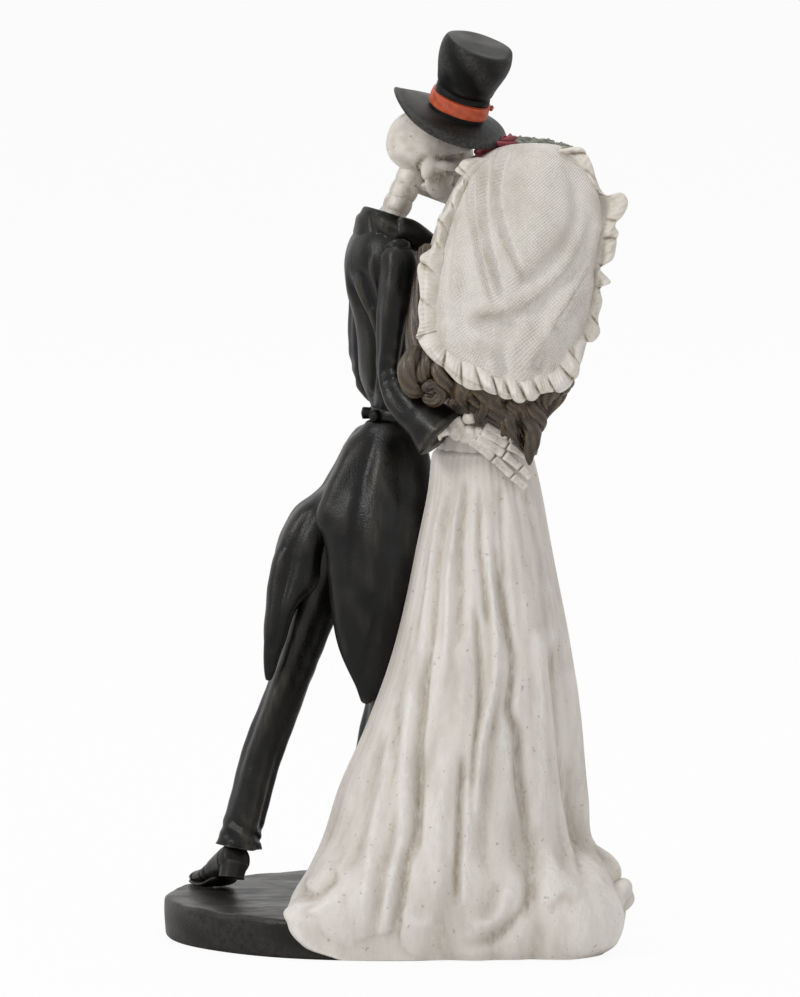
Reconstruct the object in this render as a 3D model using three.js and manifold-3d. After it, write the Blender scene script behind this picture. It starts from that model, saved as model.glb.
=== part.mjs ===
// Skeleton wedding couple figurine: a hand-painted cold-cast resin group on an oval plinth.
// Millimetres. +X is to the right of somebody who looks at the bride's back, +Y is away from them, +Z is up.
// The origin is the centre of the plinth's underside. Heights in this file are above the plinth's top.
import * as THREE from "three";
import { mergeVertices } from "three/addons/utils/BufferGeometryUtils.js";
import Module from "manifold-3d";

const wasm = await Module();
wasm.setup();
const { Manifold, Mesh } = wasm;

// Plinth
const baseLength = 110;
const baseWidth = 80;
const baseThickness = 10;
const baseEdgeRound = 2.2;

// Fits: the glue gap in every joint, and the steel dowels inside the joints
const glueGap = 0.3;
const pinDiameter = 1.6;
const pinDepth = 5;
const finestDetail = 0.1;

// Groom
const groomHeading = 25;
const trouserDiameter = 10.4;
const sleeveDiameter = 8.8;
const cuffDiameter = 13.4;
const chestDepth = 14.6;
const chestWidth = 22;
const waistDepth = 10;
const waistWidth = 15.2;
const groomNeckDiameter = 6.4;
const collarNod = 20;
const groomSkullLength = 20.4;
const groomSkullWidth = 16;
const shoeWidth = 9.6;
const heelDiameter = 6.6;
const buttonDiameter = 2.6;
const groomHips = [-4, 6, 94];
const groomWaist = [2.6, 6.5, 121];
const groomChest = [-1, 8, 152];
const groomNeckBase = [0.4, 9, 170.5];
const groomSkull = [10.4, 12, 188];
const leftAnkle = [-36, 1, 12.5];
const rightAnkle = [-6, 24, 12.5];
const rightShoulder = [3.4, -2.2, 163.2];
const leftShoulder = [-1.8, 18.2, 163.2];
const rightUpperArm = [2.4, -6.2, 148];
const rightElbow = [2.6, -9.4, 131];
const rightForearm = [7.8, -14, 125];
const leftUpperArm = [-4, 22.6, 148];
const leftElbow = [-3.2, 24.4, 131];
const leftForearm = [4.4, 24.4, 123.6];
const rightWrist = [14.6, -18, 118.6];
const leftWrist = [12.4, 21, 119.6];
const leftKnee = [-21, 7, 61];
const leftShin = [-30.3, 4, 36.4];
const rightKnee = [1.4, 17, 55];
const rightShin = [-1, 20.5, 38];

// Top hat
const brimDiameter = 29.5;
const brimThickness = 1.7;
const crownHeight = 19;
const crownDiameter = 18;
const crownWaist = 13.4;
const bandHeight = 3.6;
const bandThickness = 1;
const brimCentre = [17.9, 9.6, 195.6];
const hatLean = [5.8, -5.6, 16.2];

// Bride
const gownHeight = 111;
const gownHemWidth = 84;
const gownHemDepth = 32;
const gownWaistWidth = 25.7;
const gownWaistDepth = 9;
const gownFoldDepth = 1.7;
const leftFlareShare = 0.61;
const bodiceHeight = 48;
const shoulderWidth = 28;
const brideNeckDiameter = 6;
const brideSkullLength = 19;
const brideSkullWidth = 15;
const brideWaist = [24.7, -8, 111];
const brideShoulders = [27, -2, 160];
const brideSkull = [34, 1, 179.5];
const boneDiameter = 4;
const fingerDiameter = 2.2;

// Hair, veil and wreath
const hairThickness = 16;
const veilThickness = 2.2;
const ruffleDiameter = 5;
const roseDiameter = 5.6;
const leafLength = 6.4;
const wreathDiameter = 2.6;

const radians = THREE.MathUtils.degToRad;
const vector = (place) => new THREE.Vector3(...place);

// One closed solid through a row of rings with equal counts of points; a fan closes each end.
function skin(rings) {
  const count = rings[0].length;
  const points = rings.flat();
  const faces = [];
  for (let r = 0; r + 1 < rings.length; r++) {
    for (let i = 0; i < count; i++) {
      const a = r * count + i;
      const b = r * count + ((i + 1) % count);
      faces.push([a, b, b + count], [a, b + count, a + count]);
    }
  }
  for (const r of [0, rings.length - 1]) {
    const middle = new THREE.Vector3();
    rings[r].forEach((p) => middle.addScaledVector(p, 1 / count));
    const hub = points.push(middle) - 1;
    for (let i = 0; i < count; i++) {
      const a = r * count + i;
      const b = r * count + ((i + 1) % count);
      faces.push(r === 0 ? [hub, b, a] : [hub, a, b]);
    }
  }
  const volume = faces.reduce((sum, [a, b, c]) => {
    return sum + points[a].dot(points[b].clone().cross(points[c]));
  }, 0);
  const outward = volume > 0 ? faces : faces.map(([a, b, c]) => [a, c, b]);
  const vertProperties = new Float32Array(points.flatMap((p) => p.toArray()));
  const triVerts = new Uint32Array(outward.flat());
  return new Manifold(new Mesh({ numProp: 3, vertProperties, triVerts }));
}

// A smooth row of values through the stations, with the given steps from each one to the next.
function smoothed(stations, steps) {
  const width = stations[0].length;
  const curves = [];
  for (let k = 0; k < width; k += 3) {
    const triples = stations.map((s) => new THREE.Vector3(s[k], s[k + 1] ?? 0, s[k + 2] ?? 0));
    curves.push(new THREE.CatmullRomCurve3(triples));
  }
  const total = (stations.length - 1) * steps;
  return Array.from({ length: total + 1 }, (_, i) => {
    return curves.flatMap((curve) => curve.getPoint(i / total).toArray());
  });
}

// A limb: an oval carried along a path. A station is x, y, height, half across, half through.
function limb(stations, grow, { sides = 10, steps = 1, across = [1, 0, 0], fold = () => 0 } = {}) {
  const rows = smoothed(stations.map((s) => [...s.slice(0, 4), s[4] ?? s[3], 0]), steps);
  const centres = rows.map((row) => vector(row.slice(0, 3)));
  const side = vector(across);
  const rings = centres.map((centre, i) => {
    const before = centres[Math.max(i - 1, 0)];
    const after = centres[Math.min(i + 1, centres.length - 1)];
    const along = after.clone().sub(before).normalize();
    side.addScaledVector(along, -side.dot(along)).normalize();
    const through = along.clone().cross(side);
    const end = i === 0 ? -grow : i === centres.length - 1 ? grow : 0;
    const hub = centre.clone().addScaledVector(along, end);
    return Array.from({ length: sides }, (_, k) => {
      const turn = (2 * Math.PI * k) / sides;
      const extra = grow + fold(turn, i / (centres.length - 1));
      return hub
        .clone()
        .addScaledVector(side, (rows[i][3] + extra) * Math.cos(turn))
        .addScaledVector(through, (rows[i][4] + extra) * Math.sin(turn));
    });
  });
  return skin(rings);
}

// A stack of level ovals. A level is height, x, y, half width, half depth to the front and to the back.
// The corner power squares the front half of an oval: 2 is a plain ellipse, more is boxier.
function stack(levels, grow, { sides = 18, steps = 1, turn = 0, fold = () => 0, corner = () => 2 } = {}) {
  const rows = smoothed(levels.map((l) => [...l.slice(0, 5), l[5] ?? l[4]]), steps);
  const heading = radians(turn);
  const lift = Math.sign(rows[rows.length - 1][0] - rows[0][0]);
  const rings = rows.map(([height, x, y, halfWidth, front, back], i) => {
    const end = i === 0 ? -grow : i === rows.length - 1 ? grow : 0;
    return Array.from({ length: sides }, (_, k) => {
      const around = (2 * Math.PI * k) / sides;
      const depth = Math.sin(around) < 0 ? front : back;
      const power = Math.sin(around) < 0 ? corner(height) : 2;
      const [c, s] = [Math.abs(Math.cos(around)), Math.abs(Math.sin(around))];
      const reach = (c ** power + s ** power) ** (-1 / power);
      const plainX = x + halfWidth * reach * Math.cos(around);
      const extra = grow + fold(around, i / (rows.length - 1), height, plainX);
      const u = (halfWidth + extra) * reach * Math.cos(around);
      const v = (depth + extra) * reach * Math.sin(around);
      return new THREE.Vector3(
        x + u * Math.cos(heading) - v * Math.sin(heading),
        y + u * Math.sin(heading) + v * Math.cos(heading),
        height + lift * end,
      );
    });
  });
  return skin(rings);
}

// Any closed three.js geometry as a solid, placed by a matrix.
function solid(geometry, matrix = new THREE.Matrix4()) {
  geometry.applyMatrix4(matrix);
  geometry.deleteAttribute("normal");
  geometry.deleteAttribute("uv");
  const merged = mergeVertices(geometry, 1e-4);
  const vertProperties = merged.attributes.position.array;
  const triVerts = new Uint32Array(merged.index.array);
  return new Manifold(new Mesh({ numProp: 3, vertProperties, triVerts }));
}

// A frame with x forward, y to the left and z up: its origin, its heading and how far it nods down.
function facing(origin, heading, nod = 0, roll = 0) {
  const turn = new THREE.Euler(radians(roll), radians(nod), radians(heading), "ZYX");
  return new THREE.Matrix4().makeRotationFromEuler(turn).setPosition(vector(origin));
}

// A frame whose z axis runs along the given direction.
function standing(origin, direction) {
  const up = new THREE.Vector3(0, 0, 1);
  const turn = new THREE.Quaternion().setFromUnitVectors(up, vector(direction).normalize());
  return new THREE.Matrix4().makeRotationFromQuaternion(turn).setPosition(vector(origin));
}

// An egg: a centre and half sizes, in the given frame.
function egg(frame, centre, [a, b, c], grow, sides = 14) {
  const ball = new THREE.SphereGeometry(1, sides, Math.round(sides * 0.6));
  ball.scale(a + grow, b + grow, c + grow).translate(...centre);
  return solid(ball, frame);
}

// A steel dowel between two points.
function dowel(from, to, grow) {
  const axis = vector(to).sub(vector(from));
  const radius = pinDiameter / 2 + grow;
  const rod = new THREE.CylinderGeometry(radius, radius, axis.length() + 2 * grow, 8);
  rod.rotateX(Math.PI / 2);
  return solid(rod, standing(vector(from).addScaledVector(axis, 0.5).toArray(), axis.toArray()));
}

const joined = (solids) => solids.reduce((whole, next) => whole.add(next));
const moved = (place, [x, y, z]) => [place[0] + x, place[1] + y, place[2] + z];
const between = (a, b, t) => a.map((value, i) => value + (b[i] - value) * t);

// Painted finishes
const finishes = {
  blackResin: { color: "#232221", roughness: 0.45, metalness: 0 },
  blackCloth: { color: "#2b2a29", roughness: 0.6, metalness: 0 },
  hatBlack: { color: "#191919", roughness: 0.7, metalness: 0 },
  orangeBand: { color: "#c6522b", roughness: 0.6, metalness: 0 },
  bone: { color: "#e2d8c4", roughness: 0.55, metalness: 0 },
  ivory: { color: "#ece5da", roughness: 0.6, metalness: 0 },
  hairBrown: { color: "#4a3529", roughness: 0.35, metalness: 0 },
  roseRed: { color: "#7d2733", roughness: 0.5, metalness: 0 },
  leafGreen: { color: "#6b7556", roughness: 0.6, metalness: 0 },
  steel: { color: "#9b9b98", roughness: 0.4, metalness: 1 },
};

// Every piece is listed in the order of fitting: it gives way, with the glue gap, to all pieces before it.
const pieces = [];
const piece = (name, finish, make) => pieces.push({ name, finish, make });

// Steel dowels
const pinBelow = (place, depth) => moved(place, [0, 0, -depth]);
const leftBall = [-42.4, 10.6, 0];
const rightBall = [2, 27.4, 0];
const gownPins = [
  [8, -12, 0],
  [32, -12, 0],
];
piece("left_ankle_pin", "steel", (grow) => {
  return dowel(moved(leftAnkle, [-0.4, 0, -pinDepth]), moved(leftAnkle, [0.4, 0, pinDepth]), grow);
});
piece("right_ankle_pin", "steel", (grow) => {
  return dowel(pinBelow(rightAnkle, pinDepth), pinBelow(rightAnkle, -pinDepth), grow);
});
const footPin = (place, grow) => dowel(pinBelow(place, pinDepth), moved(place, [0, 0, 3]), grow);
piece("left_foot_pin", "steel", (grow) => footPin(leftBall, grow));
piece("right_foot_pin", "steel", (grow) => footPin(rightBall, grow));
gownPins.forEach((place, i) => {
  piece(`gown_pin_${i + 1}`, "steel", (grow) => {
    return dowel(pinBelow(place, pinDepth), pinBelow(place, -pinDepth), grow);
  });
});
piece("groom_neck_pin", "steel", (grow) => {
  return dowel(moved(groomNeckBase, [0.4, 0, -pinDepth]), between(groomNeckBase, groomSkull, 0.42), grow);
});
piece("hat_pin", "steel", (grow) => {
  const above = between(brimCentre, moved(brimCentre, hatLean), 0.35);
  return dowel(between(brimCentre, groomSkull, 0.6), above, grow);
});
const brideNeckBase = moved(brideShoulders, [1.5, 0, 2]);
piece("bride_neck_pin", "steel", (grow) => {
  return dowel(moved(brideNeckBase, [0, 0, -pinDepth]), between(brideNeckBase, brideSkull, 0.4), grow);
});

// Plinth: a flat oval slab with rounded edges
piece("base", "blackResin", (grow) => {
  const levels = [
    [-baseThickness, baseEdgeRound],
    [-baseThickness + baseEdgeRound * 0.3, baseEdgeRound * 0.3],
    [-baseThickness + baseEdgeRound, 0],
    [-baseEdgeRound * 0.6, 0],
    [0, baseEdgeRound * 0.6],
  ].map(([height, inset]) => [height, 0, 0, baseLength / 2 - inset, baseWidth / 2 - inset]);
  return stack(levels, grow, { sides: 40 });
});

// Shoes: an upper along a path from the heel to the toe, with the heel block under it
function shoe(path, heelTop, heelFoot, grow) {
  const half = shoeWidth / 2;
  const shares = [
    [0.62, 0.72],
    [0.88, 0.95],
    [0.95, 0.78],
    [1.08, 0.58],
    [0.86, 0.44],
    [0.4, 0.3],
  ];
  const upper = limb(path.map((place, i) => [...place, half * shares[i][0], half * shares[i][1]]), grow, {
    across: [0.9, 0.42, 0],
  });
  const radius = heelDiameter / 2;
  const heel = limb([[...heelTop, radius * 1.15], [...heelFoot, radius]], grow);
  return upper.add(heel);
}
const leftHeel = moved(leftAnkle, [-1.4, -2.4, -3.6]);
piece("left_shoe", "blackResin", (grow) => {
  const path = [
    moved(leftHeel, [0.9, -1.9, 1.2]),
    leftHeel,
    between(leftHeel, leftBall, 0.5),
    moved(leftBall, [0, 0, 3.2]),
    moved(leftBall, [-2.6, 5, 2.7]),
    moved(leftBall, [-3.8, 7.4, 2.4]),
  ];
  path[2][2] += 1.2;
  return shoe(path, leftHeel, moved(leftHeel, [-0.8, -1.6, -4.6]), grow);
});
piece("right_shoe", "blackResin", (grow) => {
  const heel = moved(rightAnkle, [-2.2, -1.2, -7]);
  const path = [
    moved(heel, [-2.2, -1, 0.4]),
    heel,
    between(heel, rightBall, 0.5),
    moved(rightBall, [0, 0, 3.2]),
    moved(rightBall, [5, 2.3, 2.7]),
    moved(rightBall, [7.6, 3.4, 2.4]),
  ];
  path[2][2] += 1.6;
  return shoe(path, heel, [heel[0], heel[1], glueGap], grow);
});

// Trouser legs: tubes with twisting folds and a flared hem
const twistFold = (depth, turns) => (turn, t) => depth * Math.sin(3 * turn + turns * 2 * Math.PI * t);
function trouserLeg(knee, shin, ankle, grow) {
  const r = trouserDiameter / 2;
  const top = moved(groomHips, [between(groomHips, knee, 0.2)[0] < groomHips[0] ? -3.4 : 2.4, 0, 5]);
  const stations = [
    [...top, r * 1.2],
    [...between(top, knee, 0.4), r * 1.15],
    [...knee, r],
    [...shin, r * 0.96],
    [...moved(ankle, [0, 0, 4]), r * 0.98],
    [...moved(ankle, [-0.2, -0.2, -2]), r * 1.16],
  ];
  return limb(stations, grow, { sides: 10, steps: 2, fold: twistFold(0.45, 1.5) });
}
piece("left_trouser_leg", "blackCloth", (grow) => {
  return trouserLeg(leftKnee, leftShin, leftAnkle, grow);
});
piece("right_trouser_leg", "blackCloth", (grow) => {
  return trouserLeg(rightKnee, rightShin, rightAnkle, grow);
});
piece("trouser_seat", "blackCloth", (grow) => {
  const lean = moved(groomWaist, [-1, 0, -2]);
  const levels = [
    [groomHips[2] - 4, groomHips[0], groomHips[1], 7.6, 7],
    [groomHips[2] + 5, groomHips[0], groomHips[1], 8.6, 7.6],
    [between(groomHips, lean, 0.6)[2], ...between(groomHips, lean, 0.6).slice(0, 2), 6.8, 6],
    [lean[2], lean[0], lean[1], waistDepth / 2 - 0.6, waistWidth / 2 - 1.2],
  ];
  return stack(levels, grow, { turn: groomHeading, sides: 14 });
});

// A bare skull in its own frame: cranium, brow, cheekbones and upper teeth, with the eye and nose hollows
function skull(frame, length, width, grow) {
  const l = length / 2;
  const w = width / 2;
  const slack = 0.02 * length;
  if (grow > 0) {
    return joined([
      egg(frame, [0, 0, 0], [l, w, 0.86 * l], grow + slack, 10),
      egg(frame, [0.64 * l, 0, -0.53 * l], [0.52 * l, 0.94 * w, 0.62 * l], grow + slack, 8),
      egg(frame, [0.94 * l, 0, -0.9 * l], [0.22 * l, 0.42 * w, 0.24 * l], grow + slack, 6),
    ]);
  }
  const cranium = egg(frame, [0, 0, 0], [l, w, 0.85 * l], grow, 12);
  const face = egg(frame, [0.6 * l, 0, -0.52 * l], [0.46 * l, 0.66 * w, 0.6 * l], grow, 8);
  const teeth = egg(frame, [0.94 * l, 0, -0.9 * l], [0.22 * l, 0.42 * w, 0.24 * l], grow, 6);
  const brow = egg(frame, [0.84 * l, 0, -0.03 * l], [0.2 * l, 0.64 * w, 0.15 * l], grow, 6);
  const cheeks = [0.66, -0.66].map((side) => {
    return egg(frame, [0.62 * l, side * w, -0.42 * l], [0.4 * l, 0.2 * w, 0.17 * l], grow, 6);
  });
  const bone = joined([cranium, face, teeth, brow, ...cheeks]);
  const hollows = joined([
    egg(frame, [1.1 * l, 0.42 * w, -0.25 * l], [0.34 * l, 0.27 * w, 0.22 * l], 0, 6),
    egg(frame, [1.1 * l, -0.42 * w, -0.25 * l], [0.34 * l, 0.27 * w, 0.22 * l], 0, 6),
    egg(frame, [1.14 * l, 0, -0.56 * l], [0.22 * l, 0.13 * w, 0.16 * l], 0, 6),
  ]);
  return bone.subtract(hollows);
}

// A lower jaw: one bent bar from joint to joint round the chin
function jaw(frame, length, width, grow) {
  const l = length / 2;
  const w = width / 2;
  const half = [
    [0.2 * l, 0.8 * w, -0.42 * l, 0.1 * l, 0.2 * l],
    [0.22 * l, 0.72 * w, -1.0 * l, 0.12 * l, 0.22 * l],
    [0.66 * l, 0.56 * w, -1.22 * l, 0.15 * l, 0.19 * l],
  ];
  const chin = [1.0 * l, 0, -1.26 * l, 0.2 * l, 0.2 * l];
  const other = half.map(([x, y, z, a, b]) => [x, -y, z, a, b]).reverse();
  return limb([...half, chin, ...other], grow, { sides: 8, across: [0, 1, 0] }).transform(frame.elements);
}

// A skeleton hand: a flat palm and four fingers side by side
function hand(wrist, knuckles, tips, spread, grow) {
  const across = vector(spread).normalize();
  const r = fingerDiameter / 2;
  const palm = limb([
    [...wrist, 2 * r, 1.7 * r],
    [...between(wrist, knuckles, 0.3), 1.7 * r, 1.3 * r],
    [...between(wrist, knuckles, 0.75), 3.2 * r, 1.2 * r],
    [...moved(knuckles, [0, 0, 0]), 3.9 * r, 1.2 * r],
  ], grow, { sides: 8, across: across.toArray() });
  const fingers = [-1.5, -0.5, 0.5, 1.5].map((row) => {
    const offset = across.clone().multiplyScalar(row * fingerDiameter * 0.97).toArray();
    const root = moved(between(knuckles, wrist, 0.16), offset);
    const tip = moved(between(knuckles, tips, 1 - 0.08 * Math.abs(row)), offset);
    const bulges = [1, 1.1, 0.88, 1.05, 0.65];
    const stations = bulges.map((share, i) => [...between(root, tip, i / (bulges.length - 1)), r * share]);
    return limb(stations, grow, { sides: 6 });
  });
  return joined([palm, ...fingers]);
}

// Groom's head and hat
const groomFrame = facing(groomSkull, 22, 10);
// A neck of stacked vertebrae: thick and thin rings in turn
function vertebrae(base, sink, head, reach, diameter, grow) {
  const top = between(base, head, reach);
  const foot = moved(base, [0, 0, -sink]);
  const stations = Array.from({ length: 6 }, (_, i) => {
    return [...between(foot, top, i / 5), (diameter / 2) * (i % 2 ? 0.86 : 1)];
  });
  return limb(stations, grow, { sides: 12 });
}
piece("groom_neck", "bone", (grow) => {
  return vertebrae(groomNeckBase, 4, groomSkull, 0.62, groomNeckDiameter, grow);
});
piece("groom_skull", "bone", (grow) => skull(groomFrame, groomSkullLength, groomSkullWidth, grow));
piece("groom_jaw", "bone", (grow) => jaw(groomFrame, groomSkullLength, groomSkullWidth, grow));

const hatFrame = standing(brimCentre, hatLean);
const crownShare = [1.04, 1, 0.98, 1.04, 1.18, 1.32, 1.34, 1.24];
piece("hat_crown", "hatBlack", (grow) => {
  const flare = crownDiameter / crownWaist / 1.34;
  const levels = crownShare.map((share, i) => {
    const t = i / (crownShare.length - 1);
    const r = (crownWaist / 2) * share * (1 + (flare - 1) * t);
    return [brimThickness * 0.4 + crownHeight * t, 0, 0, r, r];
  });
  return stack(levels, grow, { sides: 16 }).transform(hatFrame.elements);
});
piece("hat_band", "orangeBand", (grow) => {
  const r = crownWaist / 2 + bandThickness;
  const levels = [0, 0.2, 0.8, 1].map((t, i) => {
    const edge = r - (i % 3 === 0 ? 0.3 : 0);
    return [brimThickness * 0.5 + bandHeight * t, 0, 0, edge * 1.02, edge * 1.02];
  });
  return stack(levels, grow, { sides: 16 }).transform(hatFrame.elements);
});
piece("hat_brim", "hatBlack", (grow) => {
  const disc = new THREE.Shape().absarc(0, 0, brimDiameter / 2 + grow, 0, 2 * Math.PI);
  const plate = new THREE.ExtrudeGeometry(disc, {
    depth: brimThickness + 2 * grow,
    bevelEnabled: false,
    curveSegments: 14,
  });
  plate.translate(0, 0, -brimThickness / 2 - grow);
  return solid(plate, hatFrame);
});

// Groom's front: shirt, bow tie and lapels
const chestForward = [Math.cos(radians(groomHeading)), Math.sin(radians(groomHeading))];
const onChest = (centre, reach, side, lift) => [
  centre[0] + chestForward[0] * reach + chestForward[1] * side,
  centre[1] + chestForward[1] * reach - chestForward[0] * side,
  centre[2] + lift,
];
piece("bow_tie", "blackCloth", (grow) => {
  const knot = onChest(groomChest, chestDepth / 2 + 0.6, 0, 11.6);
  const wing = (side) => {
    return limb([
      [...onChest(knot, 0, 0, 0), 0.8, 0.9],
      [...onChest(knot, 0, side * 2, 0), 1.2, 1],
      [...onChest(knot, -0.4, side * 4.4, 0), 2.1, 1],
    ], grow, { sides: 8, across: [0, 0, 1] });
  };
  return joined([wing(1), wing(-1), egg(facing(knot, groomHeading), [0.2, 0, 0], [1.2, 1.2, 1.3], grow, 8)]);
});
piece("shirt_front", "ivory", (grow) => {
  const frame = facing(onChest(groomChest, chestDepth / 2 - 3, 0, 0.4), groomHeading);
  return egg(frame, [0, 0, 0], [3.9, 4.6, 13.6], grow, 10);
});
for (const [name, side] of [["right_lapel", 1], ["left_lapel", -1]]) {
  piece(name, "blackCloth", (grow) => {
    return limb([
      [...onChest(groomChest, chestDepth / 2 - 4.2, side * 6, 14), 2, 1.2],
      [...onChest(groomChest, chestDepth / 2 - 1.6, side * 5.6, 8), 2.7, 1.2],
      [...onChest(groomChest, chestDepth / 2 - 0.4, side * 4.2, -1), 2.4, 1.1],
      [...onChest(groomChest, chestDepth / 2 - 0.2, side * 1.9, -13), 1.2, 1],
    ], grow, { sides: 8, across: [chestForward[1], -chestForward[0], 0] });
  });
}
piece("coat_collar", "blackCloth", (grow) => {
  const levels = [
    [-7.4, 0.2, 0, 7.8, 10.6],
    [-4.8, 0.2, 0, 7.6, 9.9],
    [-2, 0.2, 0, 6.8, 8.4],
    [0.2, 0.2, 0, 5.6, 6.6],
  ];
  const frame = facing(groomNeckBase, groomHeading, collarNod);
  return stack(levels, grow, { sides: 14 }).transform(frame.elements);
});

// Groom's hands, then the sleeves with their wide cuffs, then the coat body
const rightKnuckles = [27.4, -18.7, 115.6];
const rightTips = [36.4, -16.8, 106.8];
const leftKnuckles = [17.4, 9.4, 117];
const leftTips = [25, 4.4, 112.6];
piece("right_hand", "bone", (grow) => {
  return hand(moved(rightWrist, [2, -0.6, 1.4]), rightKnuckles, rightTips, [0.7, 0.1, 0.7], grow);
});
piece("left_hand", "bone", (grow) => {
  return hand(moved(leftWrist, [-1, 1, 0]), leftKnuckles, leftTips, [0.3, 0.3, 0.9], grow);
});
function sleeve(shoulder, upper, elbow, fore, wrist, grow) {
  const r = sleeveDiameter / 2;
  return limb([
    [...moved(shoulder, [-0.4, 0.8, 0.6]), r * 0.6, r * 0.6],
    [...moved(shoulder, [0, 0, -3.4]), r, r],
    [...upper, r * 1.08, r * 1.02],
    [...elbow, r * 1.02, r],
    [...fore, r * 0.94, r * 0.94],
    [...wrist, cuffDiameter / 2, cuffDiameter / 2],
  ], grow, { sides: 12, steps: 2, fold: twistFold(0.3, 2) });
}
piece("right_sleeve", "blackCloth", (grow) => {
  return sleeve(rightShoulder, rightUpperArm, rightElbow, rightForearm, rightWrist, grow);
});
piece("left_sleeve", "blackCloth", (grow) => {
  return sleeve(leftShoulder, leftUpperArm, leftElbow, leftForearm, leftWrist, grow);
});
piece("coat_torso", "blackCloth", (grow) => {
  const level = ([x, y, height], lift, depth, width) => [height + lift, x, y, depth / 2, width / 2];
  const { lerp } = THREE.MathUtils;
  const middle = between(groomWaist, groomChest, 0.42);
  const levels = [
    level(groomWaist, -2.5, waistDepth, waistWidth),
    level(groomWaist, 1.5, waistDepth, waistWidth),
    level(middle, -4, lerp(waistDepth, chestDepth, 0.7), lerp(waistWidth, chestWidth, 0.5)),
    level(middle, 6, lerp(waistDepth, chestDepth, 0.9), lerp(waistWidth, chestWidth, 0.8)),
    level(groomChest, 0, chestDepth, chestWidth),
    level(groomChest, 7.5, chestDepth * 1.04, chestWidth * 1.04),
    level(groomChest, 13, chestDepth * 0.86, chestWidth * 0.86),
    level(groomNeckBase, -0.6, chestDepth * 0.5, chestWidth * 0.5),
  ];
  return stack(levels, grow, { turn: groomHeading, sides: 20 });
});

// Coat tails: two hanging points that part at the back, thick at the hip and thin at the tip
const tailFold = (turn, t) => 0.5 * Math.sin(7 * turn + 3 * t) * Math.min(1, 2.2 * t);
function tail(levels, grow) {
  const rows = levels.map(([height, left, right, y, depth]) => {
    return [height, (left + right) / 2, y, (right - left) / 2, depth];
  });
  return stack(rows, grow, { sides: 16, fold: tailFold });
}
const waistHeight = groomWaist[2];
piece("coat_left_tail", "blackCloth", (grow) => {
  return tail([
    [waistHeight - 3.4, -6.4, 3, 9.4, 4.4],
    [waistHeight - 9, -13, 2, 10, 7.2],
    [waistHeight - 16, -17, 0, 10, 8.6],
    [waistHeight - 25, -24.6, -6, 9, 8.6],
    [waistHeight - 34, -28, -12.4, 6.6, 7.2],
    [waistHeight - 42, -28.6, -15.4, 3.6, 5.4],
    [waistHeight - 49, -29.2, -21.4, 1.4, 3.8],
    [waistHeight - 57, -30, -25, 0.4, 2.4],
    [waistHeight - 64, -30.2, -27.6, 0, 1.4],
    [waistHeight - 66.6, -29.6, -28.4, 0, 0.8],
  ], grow);
});
piece("coat_right_tail", "blackCloth", (grow) => {
  return tail([
    [waistHeight - 3.4, -3.2, 7.6, 3.6, 5],
    [waistHeight - 9, -8, 11, 2.6, 7.6],
    [waistHeight - 18, -13, 12.6, 0.4, 9],
    [waistHeight - 28, -14.4, 12, -2, 9.2],
    [waistHeight - 40, -13.4, 9, -4.4, 7.6],
    [waistHeight - 51, -12.6, 5.4, -6, 5.4],
    [waistHeight - 60, -10.4, 3.4, -6.6, 3.6],
    [waistHeight - 67, -7.4, 1.4, -7, 2.2],
    [waistHeight - 71.4, -5.4, -3.2, -7, 1],
  ], grow);
});
const tabHeight = 3.2;
piece("waist_tab", "blackCloth", (grow) => {
  const centre = moved(groomWaist, [-0.5, -0.4, 0]);
  const levels = [-0.5, -0.3, 0.3, 0.5].map((share, i) => {
    const proud = i % 3 === 0 ? 0.5 : 0.9;
    const half = [waistDepth / 2 + proud, waistWidth / 2 + proud];
    return [centre[2] + share * tabHeight, centre[0], centre[1], ...half];
  });
  return stack(levels, grow, { turn: groomHeading, sides: 20 });
});
[-0.5, 0.36].forEach((side, i) => {
  piece(`waist_button_${i + 1}`, "blackResin", (grow) => {
    const heading = radians(groomHeading + 180) + side;
    const reach = waistDepth / 2 + 1.6 + 1.5 * Math.abs(side);
    const outward = [Math.cos(heading), Math.sin(heading), 0];
    const place = moved(groomWaist, [outward[0] * reach, outward[1] * reach, 0]);
    const radius = buttonDiameter / 2 + grow;
    const disc = new THREE.CylinderGeometry(radius, radius, 3 + 2 * grow, 12);
    return solid(disc.rotateX(Math.PI / 2), standing(place, outward));
  });
});

// Bride: neck, skull, shoulders and bone arms
const brideFrame = facing(brideSkull, 150, 6);
piece("bride_neck", "bone", (grow) => {
  return vertebrae(brideNeckBase, 3, brideSkull, 0.66, brideNeckDiameter, grow);
});
piece("bride_skull", "bone", (grow) => skull(brideFrame, brideSkullLength, brideSkullWidth, grow));
piece("bride_jaw", "bone", (grow) => jaw(brideFrame, brideSkullLength, brideSkullWidth, grow));
function boneArm(shoulder, elbow, wrist, tip, grow) {
  const r = boneDiameter / 2;
  const stations = [
    [...shoulder, r * 1.5],
    [...between(shoulder, elbow, 0.2), r * 0.9],
    [...between(shoulder, elbow, 0.8), r * 0.85],
    [...elbow, r * 1.3],
    [...between(elbow, wrist, 0.25), r * 0.85],
    [...between(elbow, wrist, 0.8), r * 0.8],
    [...wrist, r * 1.15],
    [...between(wrist, tip, 0.5), r * 1.5, r * 0.6],
    [...tip, r * 1.1, r * 0.45],
  ];
  return limb(stations, grow, { sides: 8 });
}
const armRoot = (side) => moved(brideShoulders, [side * (shoulderWidth / 2 - 3), 0.5, -1]);
piece("bride_left_arm", "bone", (grow) => {
  return boneArm(armRoot(-1), [15.4, 8, 148], [11, 8.6, 157.5], [9, 7.6, 163], grow);
});
piece("bride_right_arm", "bone", (grow) => {
  return boneArm(armRoot(1), [34, 17, 149], [14, 22, 159], [4, 20.6, 163.6], grow);
});
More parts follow.
